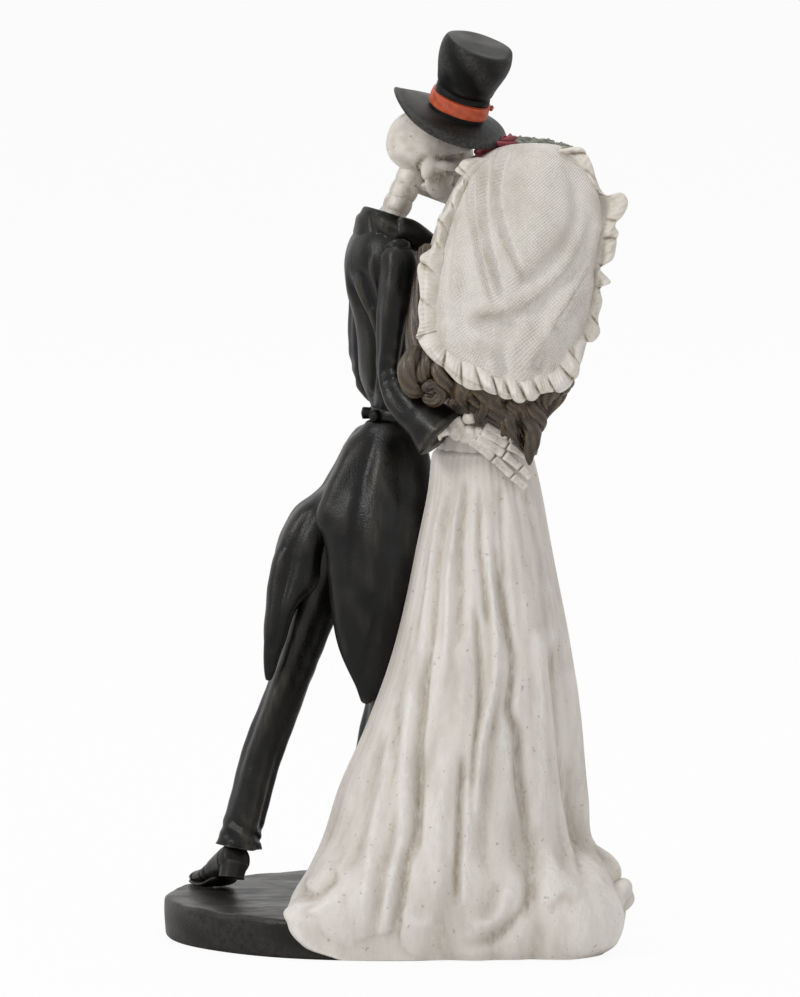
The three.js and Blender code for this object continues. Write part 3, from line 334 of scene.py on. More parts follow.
# Hand-painted cast resin. The painter's coats go on one over the other: a base coat that mottles into a
# second tone; a dark tone that stays in the hollows, partly a thin antique wash and partly painted shade;
# a light tone that catches the crests, partly dry-brushing and partly painted highlight; specks of dirt
# from the antiquing; and on some pieces a light tone on what faces up, partly dust and partly painted top
# light. Sizes are in mm.
def paintedResin(finish):
    material, tree = addMaterial(finish["name"])
    place = addNode(tree, "ShaderNodeTexCoord").outputs["Object"]
    brushed = addNode(tree, "ShaderNodeMapping", {"Scale": finish["stretch"]}, {"Vector": place}).outputs[0]
    fields = {}
    for name, source, size, detail, roughness in (
            ("mottle", brushed, finish["mottleSize"], 5, 0.6),
            ("streak", brushed, finish["streakSize"], 3, 0.7),
            ("grain", place, finish["grainSize"], 2, 0.5),
            ("dirt", place, finish["dirtSize"], 1, 0.5)):
        noise = addNode(tree, "ShaderNodeTexNoise",
                        {"Scale": 1000 / size, "Detail": detail, "Roughness": roughness}, {"Vector": source})
        fields[name] = noise.outputs["Fac"]
    normal = addNode(tree, "ShaderNodeNewGeometry").outputs["Normal"]
    fields["rise"] = addNode(tree, "ShaderNodeSeparateXYZ", {}, {0: normal}).outputs[2]
    masks = {}
    # each mask: its field, the field's values where it starts and ends, and its own values there
    # the mask of what faces up paints it lighter: partly dust, partly painted top light
    for name, field, low, high, least, most in (
            ("mottle", "mottle", 0.42, 0.64, 0, 1),
            ("streak", "streak", 0.35, 0.7, 0.25, 1),
            ("dirt", "dirt", 0.7, 0.76, 0, finish["dirtShare"]),
            ("dust", "rise", 0.86, 0.96, 0, finish["dust"]),
            ("gloss", "mottle", 0.3, 0.7, *finish["gloss"])):
        mask = addNode(tree, "ShaderNodeMapRange",
                       {"From Min": low, "From Max": high, "To Min": least, "To Max": most},
                       {"Value": fields[field]})
        masks[name] = mask.outputs[0]
    # hollow lays the dark tone into the hollows as wash and painted shade; crest lays the light tone onto the
    # crests as dry-brush and painted highlight
    for name in ("hollow", "crest"):  # the relief, broken up by the brush's streaks
        relief = addNode(tree, "ShaderNodeAttribute", {"attribute_name": name})
        broken = addNode(tree, "ShaderNodeMath", {"operation": "MULTIPLY", "use_clamp": True},
                         {0: relief.outputs["Fac"], 1: masks["streak"]})
        masks[name] = addNode(tree, "ShaderNodeMath", {"operation": "MULTIPLY", 1: finish[name + "Share"]},
                              {0: broken.outputs[0]}).outputs[0]
    under = {}
    # the coats in order: the dark tone of the hollows is partly painted shade, and the light tone of the
    # crests and of what faces up is partly painted highlight and painted top light
    for tone, mask in (("second", "mottle"), ("wash", "hollow"), ("crest", "crest"), ("wash", "dirt"),
                       ("crest", "dust")):
        coat = addNode(tree, "ShaderNodeMix",
                       {"data_type": "RGBA", 6: toLinear(finish["base"]), 7: toLinear(finish[tone])},
                       {0: masks[mask], **under})
        under = {6: coat.outputs[2]}
    cloth = addNode(tree, "ShaderNodeAttribute", {"attribute_name": "cloth"}).outputs["Vector"]
    height = fields["grain"]
    if finish["weave"]:  # gauze: two crossed sets of threads in the cloth's own millimetres
        threads = addNode(tree, "ShaderNodeSeparateXYZ", {}, {0: cloth})
        waves = []
        for axis in (0, 1):
            turns = addNode(tree, "ShaderNodeMath", {"operation": "MULTIPLY", 1: tau / finish["weave"]},
                            {0: threads.outputs[axis]})
            waves.append(addNode(tree, "ShaderNodeMath", {"operation": "SINE"}, {0: turns.outputs[0]}))
        crossing = addNode(tree, "ShaderNodeMath", {"operation": "MULTIPLY"},
                           {0: waves[0].outputs[0], 1: waves[1].outputs[0]})
        height = addNode(tree, "ShaderNodeMath", {"operation": "MULTIPLY_ADD", 1: 0.8},
                         {0: crossing.outputs[0], 2: height}).outputs[0]
    if finish["strands"]:  # hair: combed lines that run along each curl and waver a little
        combed = addNode(tree, "ShaderNodeMapping", {"Scale": (1 / finish["strands"], 0.09, 1)},
                         {"Vector": cloth})
        lines = addNode(tree, "ShaderNodeTexNoise", {"Scale": 1, "Detail": 3, "Distortion": 0.6},
                        {"Vector": combed.outputs[0]})
        height = addNode(tree, "ShaderNodeMath", {"operation": "MULTIPLY_ADD", 1: 3.0},
                         {0: lines.outputs["Fac"], 2: height}).outputs[0]
    streakHeight = addNode(tree, "ShaderNodeMath", {"operation": "MULTIPLY_ADD", 1: finish["brushMarks"]},
                           {0: fields["streak"], 2: height})
    bump = addNode(tree, "ShaderNodeBump", {"Strength": 0.6, "Distance": finish["bump"] * mm},
                   {"Height": streakHeight.outputs[0]})
    shader = addNode(tree, "ShaderNodeBsdfPrincipled",
                     {"Specular IOR Level": finish["specular"], "Coat Weight": finish["coat"],
                      "Coat Roughness": 0.25},
                     {"Base Color": coat.outputs[2], "Roughness": masks["gloss"], "Normal": bump.outputs[0]})
    addNode(tree, "ShaderNodeOutputMaterial", {}, {"Surface": shader.outputs[0]})
    return material


# Each finish: the real paint that it stands for, its tones and its sizes in mm; a share is the most that a
# coat covers. The dark tone of the hollows is partly painted shade, and the light tone of the crests partly
# painted highlight; dust on what faces up is partly painted top light. What most of them have in common
# stands first, where a nought stands for none.
commonFinish = {
    "stretch": (1, 1, 1), "hollowShare": 0.9, "crestShare": 0.6, "dirtShare": 0.1, "dirtSize": 1.3,
    "dust": 0.0, "coat": 0.0, "weave": 0, "strands": 0,
}
finishes = {
    "plinthBlack": {  # satin black spray on cast resin; its flat top is painted a brown grey, partly dust and partly painted top light
        "name": "satinBlackEnamel", "slot": "black_resin", "base": "#11100f", "second": "#1d1b19",
        "wash": "#0b0a0a", "crest": "#5a5550", "mottleSize": 9, "streakSize": 1.6, "grainSize": 0.7,
        "hollowShare": 0.5, "crestShare": 0.3, "dirtShare": 0.12, "gloss": (0.3, 0.46), "specular": 0.2,
        "brushMarks": 0.4, "bump": 0.16, "dust": 0.22},
    "suitBlack": {  # brushed satin black, with the bristle marks running down the cloth; grey on the ridges, partly dry-brush and partly painted highlight, and darker black in the folds as painted shade
        "name": "brushedBlackPaint", "slot": "suit_black", "base": "#0c0c0b", "second": "#151413",
        "wash": "#040404", "crest": "#56524b", "mottleSize": 7, "streakSize": 1.7, "grainSize": 0.5,
        "stretch": (1, 1, 0.16), "hollowShare": 0.6, "gloss": (0.24, 0.42), "specular": 0.22,
        "brushMarks": 1.0, "bump": 0.14},
    "hatBlack": {  # matt black; grey on its crests, partly dry-brush and partly painted highlight, and lighter grey on what faces up, partly dust and partly painted top light
        "name": "mattBlackPaint", "slot": "hat_black", "base": "#0b0b0b", "second": "#121211",
        "wash": "#060606", "crest": "#6b6966", "mottleSize": 6, "streakSize": 0.9, "grainSize": 0.45,
        "hollowShare": 0.5, "crestShare": 0.4, "gloss": (0.34, 0.52), "specular": 0.14, "brushMarks": 0.6,
        "bump": 0.13, "dust": 0.42},
    "bandOrange": {  # one coat of matt orange over grey, thin on the edges
        "name": "orangePaint", "slot": "orange_band", "base": "#c4502a", "second": "#b04a2c",
        "wash": "#6e2f1c", "crest": "#cf7a52", "mottleSize": 2.2, "streakSize": 0.8, "grainSize": 0.4,
        "hollowShare": 0.6, "crestShare": 0.4, "dirtShare": 0.25, "gloss": (0.4, 0.55), "specular": 0.5,
        "brushMarks": 0.8, "bump": 0.12},
    "bonePaint": {  # bone white under a tan wash that gathers in the joints
        "name": "bonePaint", "slot": "bone", "base": "#e0dad1", "second": "#bfb6a9", "wash": "#675030",
        "crest": "#f1ece2", "mottleSize": 3.6, "streakSize": 0.9, "grainSize": 0.4, "hollowShare": 0.95,
        "crestShare": 0.55, "dirtShare": 0.5, "gloss": (0.38, 0.56), "specular": 0.45, "brushMarks": 0.8,
        "bump": 0.16},
    "gownIvory": {  # ivory over resin; its long folds darkened partly by a thin brown antique wash and partly by painted shade, with painted highlight on their crests
        "name": "ivoryPaint", "slot": "ivory_cloth", "base": "#ddd7cf", "second": "#cbc4bb",
        "wash": "#8f7d66", "crest": "#f2efea", "mottleSize": 8, "streakSize": 1.3, "grainSize": 0.6,
        "stretch": (1, 1, 0.3), "hollowShare": 0.68, "crestShare": 0.75, "dirtShare": 0.45,
        "gloss": (0.5, 0.66), "specular": 0.35, "brushMarks": 0.7, "bump": 0.2},
    "veilIvory": {  # ivory over moulded gauze, its half-millimetre threads drawn twice as wide to show; painted shade in its creases and painted highlight on their ridges
        "name": "ivoryGauzePaint", "slot": "veil_ivory", "base": "#e4dfd7", "second": "#d4ccc2",
        "wash": "#a2967f", "crest": "#f5f2ed", "mottleSize": 9, "streakSize": 1.2, "grainSize": 0.5,
        "stretch": (1, 1, 0.5), "hollowShare": 0.6, "crestShare": 0.7, "gloss": (0.46, 0.62),
        "specular": 0.4, "brushMarks": 0.4, "bump": 0.3, "weave": 1.05},
    "ruffleIvory": {  # the same ivory on the plain rolled border; its slits darkened partly by brown wash and partly by painted shade, with painted highlight on the gathers
        "name": "ivoryBorderPaint", "slot": "veil_ivory", "base": "#e2dcd3", "second": "#d2cabe",
        "wash": "#8b7754", "crest": "#f4f1eb", "mottleSize": 5, "streakSize": 0.9, "grainSize": 0.5,
        "dirtShare": 0.2, "gloss": (0.4, 0.56), "specular": 0.45, "brushMarks": 0.6, "bump": 0.14},
    "hairBrown": {  # dark brown gloss paint; the raised strands lighter, partly dry-brush and partly painted highlight, and painted shade between them
        "name": "glossBrownPaint", "slot": "hair_brown", "base": "#443627", "second": "#33281c",
        "wash": "#120c07", "crest": "#887152", "mottleSize": 5, "streakSize": 0.8, "grainSize": 0.4,
        "gloss": (0.18, 0.32), "specular": 0.36, "brushMarks": 0.3, "bump": 0.24, "strands": 0.55,
        "coat": 0.3},
    "roseRed": {  # deep red with pink dry-brushed on the petal edges
        "name": "deepRedPaint", "slot": "rose_red", "base": "#73222e", "second": "#8c3440",
        "wash": "#2c0b10", "crest": "#d27b83", "mottleSize": 2, "streakSize": 0.7, "grainSize": 0.3,
        "crestShare": 0.7, "gloss": (0.4, 0.55), "specular": 0.5, "brushMarks": 0.5, "bump": 0.1},
    "leafGreen": {  # grey green, its veins left dark
        "name": "greyGreenPaint", "slot": "leaf_green", "base": "#62655a", "second": "#8f9187",
        "wash": "#22261b", "crest": "#aab19b", "mottleSize": 2, "streakSize": 0.7, "grainSize": 0.3,
        "gloss": (0.45, 0.6), "specular": 0.4, "brushMarks": 0.5, "bump": 0.1},
}
finishes = {key: {**commonFinish, **finish} for key, finish in finishes.items()}
paints = {key: paintedResin(finish) for key, finish in finishes.items()}
print("stage: paints mixed")


# Drawn steel rod for the dowels: bright, with fine lines along the drawing direction, in mm apart
def drawnSteel(lineSize=0.2):
    material, tree = addMaterial("drawnSteel")
    place = addNode(tree, "ShaderNodeTexCoord").outputs["Object"]
    along = addNode(tree, "ShaderNodeMapping", {"Scale": (1, 1, 0.05)}, {"Vector": place})
    lines = addNode(tree, "ShaderNodeTexNoise", {"Scale": 1000 / lineSize, "Detail": 3},
                    {"Vector": along.outputs[0]})
    tone = addNode(tree, "ShaderNodeMix",
                   {"data_type": "RGBA", 6: toLinear("#8d8d8a"), 7: toLinear("#b2b2ae")},
                   {0: lines.outputs["Fac"]})
    rough = addNode(tree, "ShaderNodeMapRange", {"To Min": 0.28, "To Max": 0.42},
                    {"Value": lines.outputs["Fac"]})
    bump = addNode(tree, "ShaderNodeBump", {"Strength": 0.4, "Distance": 0.02 * mm},
                   {"Height": lines.outputs["Fac"]})
    shader = addNode(tree, "ShaderNodeBsdfPrincipled", {"Metallic": 1.0},
                     {"Base Color": tone.outputs[2], "Roughness": rough.outputs[0],
                      "Normal": bump.outputs[0]})
    addNode(tree, "ShaderNodeOutputMaterial", {}, {"Surface": shader.outputs[0]})
    return material


steel = drawnSteel()
for node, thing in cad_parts.items():
    if node.endswith("_pin") or node.startswith("gown_pin"):
        thing.data.materials.clear()
        thing.data.materials.append(steel)

# Camera: the photograph's view, square to the plinth's long side and looking down a little, from far off.
# Its frame is as high as the photograph: rows of pixels times the mm of a pixel.
photoRows, pixelSize = 997, 0.25
view = {"aim": (4.1, 0, 110.3), "distance": 2500, "elevation": 7.5, "frameHeight": photoRows * pixelSize,
        "sensor": 36}


def addCamera():
    camera = bpy.data.cameras.new("photoView")
    camera.sensor_fit = "VERTICAL"
    camera.sensor_height = view["sensor"]
    camera.lens = view["sensor"] * view["distance"] / view["frameHeight"]
    camera.clip_end = 20
    holder = addObject("photoView", camera)
    tilt = math.radians(view["elevation"])
    x, y, z = view["aim"]
    holder.location = (x * mm, (y - view["distance"] * math.cos(tilt)) * mm,
                       (z + view["distance"] * math.sin(tilt)) * mm)
    holder.rotation_euler = (math.pi / 2 - tilt, 0, 0)
    bpy.context.scene.camera = holder


# Lamps: a key above the left shoulder of the camera, a weak fill from the right and a top light from behind.
# Each lamp: place in metres, size in metres and power in watts.
lamps = {
    "key": {"place": (-1.1, -0.75, 1.05), "size": 0.5, "power": 9.6},
    "fill": {"place": (0.9, -1.0, 0.5), "size": 1.0, "power": 1.7},
    "top": {"place": (0.1, 0.5, 1.4), "size": 0.9, "power": 5.5},
}


def addLamps():
    target = Vector((0, 0, 0.11))
    for name, lamp in lamps.items():
        light = bpy.data.lights.new(name, "AREA")
        light.size = lamp["size"]
        light.energy = lamp["power"]
        holder = addObject(name, light)
        holder.location = lamp["place"]
        holder.rotation_euler = (target - Vector(lamp["place"])).to_track_quat("-Z", "Y").to_euler()


# World: an even studio glow on the paint; the camera, mirrored and bent rays see plain white instead
def addWorld(glow=0.5):
    world = bpy.data.worlds.new("studio")
    bpy.context.scene.world = world
    world.use_nodes = True
    tree = world.node_tree
    tree.nodes.clear()
    path = addNode(tree, "ShaderNodeLightPath")
    seen = addNode(tree, "ShaderNodeMath", {"operation": "MAXIMUM"},
                   {0: path.outputs["Is Camera Ray"], 1: path.outputs["Is Transmission Ray"]})
    mirrored = addNode(tree, "ShaderNodeMath", {"operation": "MAXIMUM"},
                       {0: seen.outputs[0], 1: path.outputs["Is Glossy Ray"]})
    strength = addNode(tree, "ShaderNodeMapRange", {"To Min": glow, "To Max": 1.0},
                       {"Value": mirrored.outputs[0]})
    back = addNode(tree, "ShaderNodeBackground", {"Color": (1, 1, 1, 1)}, {"Strength": strength.outputs[0]})
    addNode(tree, "ShaderNodeOutputWorld", {}, {"Surface": back.outputs[0]})


# Floor: a wide white sheet; for the camera it is mostly a plain white glow, and the rest keeps the shadow
def addFloor(radius=6.0):
    turn = np.linspace(0, tau, 64, endpoint=False)
    points = np.stack([np.cos(turn), np.sin(turn), 0 * turn], -1) * radius
    mesh = bpy.data.meshes.new("floor")
    mesh.from_pydata(points.tolist(), [], [list(range(64))])
    material, tree = addMaterial("whitePaperSweep")
    path = addNode(tree, "ShaderNodeLightPath")
    paper = addNode(tree, "ShaderNodeBsdfPrincipled", {"Base Color": (0.86, 0.86, 0.86, 1), "Roughness": 0.8})
    white = addNode(tree, "ShaderNodeEmission", {"Color": (1, 1, 1, 1), "Strength": 1.0})
    share = addNode(tree, "ShaderNodeMath", {"operation": "MULTIPLY", 1: 0.93},
                    {0: path.outputs["Is Camera Ray"]})
    mixed = addNode(tree, "ShaderNodeMixShader", {},
                    {0: share.outputs[0], 1: paper.outputs[0], 2: white.outputs[0]})
    addNode(tree, "ShaderNodeOutputMaterial", {}, {"Surface": mixed.outputs[0]})
    mesh.materials.append(material)
    addObject("floor", mesh)


addCamera()
addLamps()
addWorld()
addFloor()
bpy.context.scene.view_settings.view_transform = "Standard"
print("stage: studio set")


# Plinth: an oval slab; profile rows run from the middle of the underside, round both edges, to the middle
# of the top. Ripples lift its top, and nine shallow waves run round its wall.
plinth = {"length": 110, "width": 80, "thickness": 10, "foot": 0.9, "shoulder": 1.6, "ripple": 0.16}


def makePlinth():
    a, b = plinth["length"] / 2, plinth["width"] / 2
    quarter = np.linspace(0, math.pi / 2, 9)
    foot, shoulder = plinth["foot"], plinth["shoulder"]
    spread = np.linspace(0.02, 1, 40)
    profile = [(a - share * (a - foot), -plinth["thickness"]) for share in spread[::4]]
    profile += [(foot * (1 - math.sin(q)), -plinth["thickness"] + foot * (1 - math.cos(q))) for q in quarter]
    profile += [(0, height) for height in np.linspace(-plinth["thickness"] + foot * 1.3, -shoulder * 1.2, 8)]
    profile += [(shoulder * (1 - math.cos(q)), -shoulder * (1 - math.sin(q))) for q in quarter]
    profile += [(a - share * (a - shoulder), 0) for share in spread[::-1][1:]]
    inset, height = np.array(profile).T[:, :, None]
    turn = ringAngles(240)
    share = clamp(1 - inset / a)
    grid = np.stack([a * share * np.cos(turn), b * share * np.sin(turn), height + 0 * turn], -1)
    lift = plinth["ripple"] * ripple(grid, 16) + 0.06 * ripple(grid, 5, 2.0)
    grid[..., 2] += np.where(height > -1, lift - 0.1, 0)
    grid[..., :2] *= 1 + 0.003 * np.sin(9 * turn + 0.5 * height)[..., None] * (height < -0.5)[..., None]
    makePiece("base", [grid], "plinthBlack", reliefDepth=0.12, name="plinthCast")


# Gown skirt: level ovals whose half sizes widen to the hem. Broad folds are bells at fixed angles, taken off,
# that deepen as they fall; the creases of its back follow lines across and up it.
skirt = {
    "waist": (24.7, -8, 111), "waistWidth": 25.7, "waistDepth": 9, "hemWidth": 84, "hemDepth": 32,
    "leftShare": 0.61, "foldDepth": 1.45,
    # the hem over the plinth's rim: where it starts, as a share of the rim's oval and in mm of height, the
    # spread of both, and how far out it hangs
    "rimShare": 0.84, "rimSpread": 0.1, "rimHeight": 8, "rimRise": 5, "rimReach": 1.025,
    # share of the height, then shares of the flare to the left, to the right and in depth
    "rows": [(1, 0, 0, 0), (0.92, 0.03, 0.09, 0.09), (0.78, 0.12, 0.22, 0.28), (0.6, 0.24, 0.39, 0.5),
             (0.42, 0.43, 0.52, 0.68), (0.26, 0.645, 0.58, 0.82), (0.15, 0.755, 0.64, 0.9),
             (0.085, 0.845, 0.84, 0.97), (0, 0.99, 1, 1), (-0.06, 0.92, 0.94, 0.97),
             (-0.087, 0.76, 0.78, 0.93)],
    # broad grooves: angle in degrees, share of the depth and half width in degrees
    "grooves": [(-140, 0.8, 8), (-112, 1, 7), (-93, 0.5, 6), (-78, 0.6, 5), (-61, 1.2, 7), (-42, 0.5, 6),
                (-22, 1, 8), (0, 0.9, 8), (24, 1, 9), (48, 0.9, 9), (72, 1, 9), (96, 0.9, 9), (120, 1, 9),
                (144, 0.9, 9), (168, 1, 9), (-166, 0.9, 8)],
    # creases: depth in mm (a ridge above nought), width in mm, then (x, height) points
    "creases": [
        (-2.08, 1.4, [(10.3, 66), (9.5, 52), (8.4, 43), (8.6, 35), (8.4, 26), (8.2, 14)]),
        (-1.2, 1.2, [(8.6, 24), (5.6, 14), (4.1, 5), (2.9, -2), (2.3, -9)]),
        (1.2, 1.5, [(8.8, 72), (6.8, 56), (5.9, 43), (5.6, 30), (4.9, 21), (2.9, 12), (0.9, 0), (0, -6)]),
        (0.88, 1.3, [(2.5, 50), (0.6, 36), (-2.1, 23), (-3.7, 10), (-4.4, -2)]),
        (-0.95, 2.1, [(0, 46), (-5.8, 29), (-9.6, 21), (-13.5, 11)]),
        (0.72, 2.3, [(13.9, 70), (14.5, 52), (14.3, 35), (14.1, 17), (13.4, 0)]),
        (-1.28, 0.9, [(22.6, 78), (23.8, 63), (23.8, 52), (22.9, 43), (22, 30)]),
        (1.28, 1.1, [(25.3, 102), (26.4, 85), (27.4, 77), (28.2, 66), (27.5, 58), (26.3, 52), (24.3, 45),
                     (23.4, 36), (23.1, 24)]),
        (-2.08, 1.5, [(28.2, 92), (30.2, 75), (32.2, 64), (31.8, 56), (31.3, 52), (33.1, 46), (33.4, 41),
                      (33.8, 35), (35, 28), (35.9, 18)]),
        (-0.95, 1.9, [(35.5, 26), (37, 12), (35.9, 5), (32.2, 0), (26.8, -4), (18.8, -6)]),
        (0.95, 2.1, [(37.2, 71), (38.1, 66), (38.9, 54), (39.1, 43), (40, 30), (41.3, 17), (42, 4)]),
        (-2, 1.6, [(42.2, 68), (43, 60), (44, 50), (45, 39), (46.4, 29), (48.4, 19), (50.6, 8)]),
        (0.7, 1.4, [(46.4, 60), (47.2, 54), (48.2, 42), (49.4, 31), (51.4, 18)]),
        (-1.6, 1, [(19.8, 42), (19, 28), (18.8, 19), (18.4, 12), (18.4, 4)]),
        (0.8, 1.3, [(21, 36), (20.4, 19), (19.6, 4)]),
        (-0.8, 1.1, [(20.6, 108), (19.1, 93), (19.2, 83), (18.6, 66)]),
        (0.88, 0.9, [(19.2, 106), (17.7, 94), (16.4, 85), (16.1, 75), (15.8, 60)]),
        (0.8, 0.9, [(14.8, 104), (12.5, 91), (11.4, 81), (10.2, 71), (8.6, 56)]),
        (-0.88, 0.9, [(16.2, 105), (14.1, 91), (13.1, 82), (12.3, 71), (10.6, 56)]),
        (-0.8, 0.9, [(24.2, 106), (23.8, 92), (24.7, 84), (25.8, 72)]),
        (0.72, 1.3, [(30.6, 106), (33.1, 91), (34.5, 82), (36, 68)]),
        (-0.8, 1.1, [(34.8, 106), (38.1, 93), (40.4, 80)]), (-0.65, 0.9, [(29, 106), (29.4, 94), (30.4, 82)]),
        (0.95, 1.4, [(-24.4, 1), (-20.5, 2), (-16.1, 3), (-11, 8)]),
        (-1.12, 1.3, [(-22.4, 6), (-17.8, 5), (-14.3, 7), (-11.6, 12)]),
        (0.8, 1.4, [(22, -1), (27.7, 1), (31.4, 9)]), (-0.8, 1.2, [(-7.3, -6), (-1.8, -5), (2.4, -3)]),
        (-0.65, 1.5, [(41, 2), (45, 6), (49, 4)]), (0.48, 1.7, [(5, 4), (9, 0), (13, 1)]),
    ],
}


def skirtFolds(turn, t, height):
    angle = np.degrees(turn)
    fall = 1 - height / skirt["waist"][2]
    groove = 0.0
    for at, share, width in skirt["grooves"]:
        off = (angle - at - 3 * np.sin(3 * fall + at) + 180) % 360 - 180
        groove = groove + share * bell(off, 0, width)
    return skirt["foldDepth"] * (0.35 - groove) * (0.12 + 0.8 * clamp(fall))


def makeSkirt():
    x, y, top = skirt["waist"]
    narrow, flare = skirt["waistWidth"] / 2, skirt["hemWidth"] - skirt["waistWidth"]
    deepen = skirt["hemDepth"] - skirt["waistDepth"]
    levels = [(top * 1.032, x, y, narrow - 2.4, 7.4, 6.2), (top * 1.02, x, y, narrow - 0.7, 8.6, 7)]
    for share, toLeft, toRight, deep in skirt["rows"]:
        left = x - narrow - flare * skirt["leftShare"] * toLeft
        right = x + narrow + flare * (1 - skirt["leftShare"]) * toRight
        front = skirt["waistDepth"] + deepen * deep
        levels.append((top * share, (left + right) / 2, y - 2 * deep,
                       (right - left) / 2, front, front * 0.82))

    def corner(height):
        return 2 + 3.4 * bell(np.maximum(height, 0), 0, 0.1 * top)

    rows, sides = 225, 430
    plain = stack(levels, rows, sides, fold=skirtFolds, corner=corner)
    behind = clamp((plain.mean(axis=1)[:, None, 1] - plain[..., 1] - 1) / 3)
    extra = lineDepth(skirt["creases"], plain[..., 0], plain[..., 2]) * behind
    streaks = 0.05 * np.sin(46 * ringAngles(sides))
    extra = extra + streaks + 0.12 * ripple(plain * (1, 1, 0.3), 13)
    grid = stack(levels, rows, sides, fold=lambda turn, t, height: skirtFolds(turn, t, height) + extra,
                 corner=corner)
    # the hem hangs over the plinth's rim: points near the rim's oval are carried just outside it
    share = np.hypot(grid[..., 0] / (plinth["length"] / 2), grid[..., 1] / (plinth["width"] / 2))
    near = clamp((share - skirt["rimShare"]) / skirt["rimSpread"]) * (grid[..., 1] < 0)
    near = near * clamp((skirt["rimHeight"] - grid[..., 2]) / skirt["rimRise"])
    wanted = skirt["rimReach"] - 0.05 * clamp(grid[..., 2] / 3)
    grid[..., :2] *= (1 + near * np.maximum(wanted / np.maximum(share, 0.1) - 1, 0))[..., None]
    makePiece("gown_skirt", [grid], "gownIvory", reach=4, reliefDepth=0.47)


# Train curl: a rolled lip of the hem. Three sine waves round its tube turn as they go along it and one bell
# cuts a groove; the lobe beside it has three shallower waves.
train = {"path": [(47.6, -34, -4.6, 2, 1.8), (52.4, -29.8, -1, 3.4, 3.4), (57, -22.6, 2.8, 4, 4.4),
                  (58.6, -14.6, 2.4, 3.4, 4.2), (57.2, -8, -0.8, 2.2, 2.8)],
         "lobe": [(48.4, -15, 16.5, 1, 1.2), (52.6, -16.6, 13, 2, 2.2), (55.8, -18.2, 9.6, 2.5, 2.8),
                  (57.4, -20, 5.4, 2.2, 2.6)]}


def trainFold(turn, t):
    return 0.75 * np.sin(3 * turn + 9 * t) * np.sin(math.pi * t) - 0.9 * bell(turn, 4.1, 0.35)


def makeTrain():
    roll = tube(train["path"], rows=120, sides=96, across=(0, 0, 1), fold=trainFold, ends=(0.12, 0.2))
    lobe = tube(train["lobe"], rows=70, sides=64, across=(0, 1, 0),
                fold=lambda turn, t: 0.35 * np.sin(3 * turn + 5 * t), ends=(0.3, 0.3))
    makePiece("gown_train_curl", [roll, lobe], "gownIvory", reliefDepth=0.4, name="gownTrainCast")


# Gown bodice: level ovals. Sine waves under a bell gather the cloth above the waist, a bell with beads round
# it trims the neckline, and another bell cuts a groove round the middle.
bodice = {"waist": (24.7, -8, 111), "height": 48, "halfWidth": 12.85, "halfDepth": 9}


def makeBodice():
    x, y, low = bodice["waist"]
    w, d, tall = bodice["halfWidth"], bodice["halfDepth"], bodice["height"]
    levels = [(low - 4, x, y, w * 0.84, d * 0.86), (low + 4, x, y, w * 0.88, d * 0.9),
              (low + tall * 0.26, x + 0.6, y + 0.6, w * 0.86, d * 0.88),
              (low + tall * 0.6, x + 1.6, y + 3, w, d),
              (low + tall * 0.86, x + 2.2, y + 5, w * 1.06, d * 1.02),
              (low + tall * 0.98, x + 2.3, y + 5.6, w * 1.02, d * 0.8)]

    def gathers(turn, t, height):
        pleats = 0.12 * np.sin(17 * turn) * bell(t, 0.15, 0.2)
        trim = 0.6 * bell(t, 0.9, 0.03) * (1 + 0.4 * np.sin(40 * turn))
        return pleats + trim - 0.5 * bell(t, 0.55, 0.02)

    grid = stack(levels, rows=120, sides=160, fold=gathers, ends=(0, 0.05))
    makePiece("gown_bodice", [grid], "gownIvory", reliefDepth=0.45)


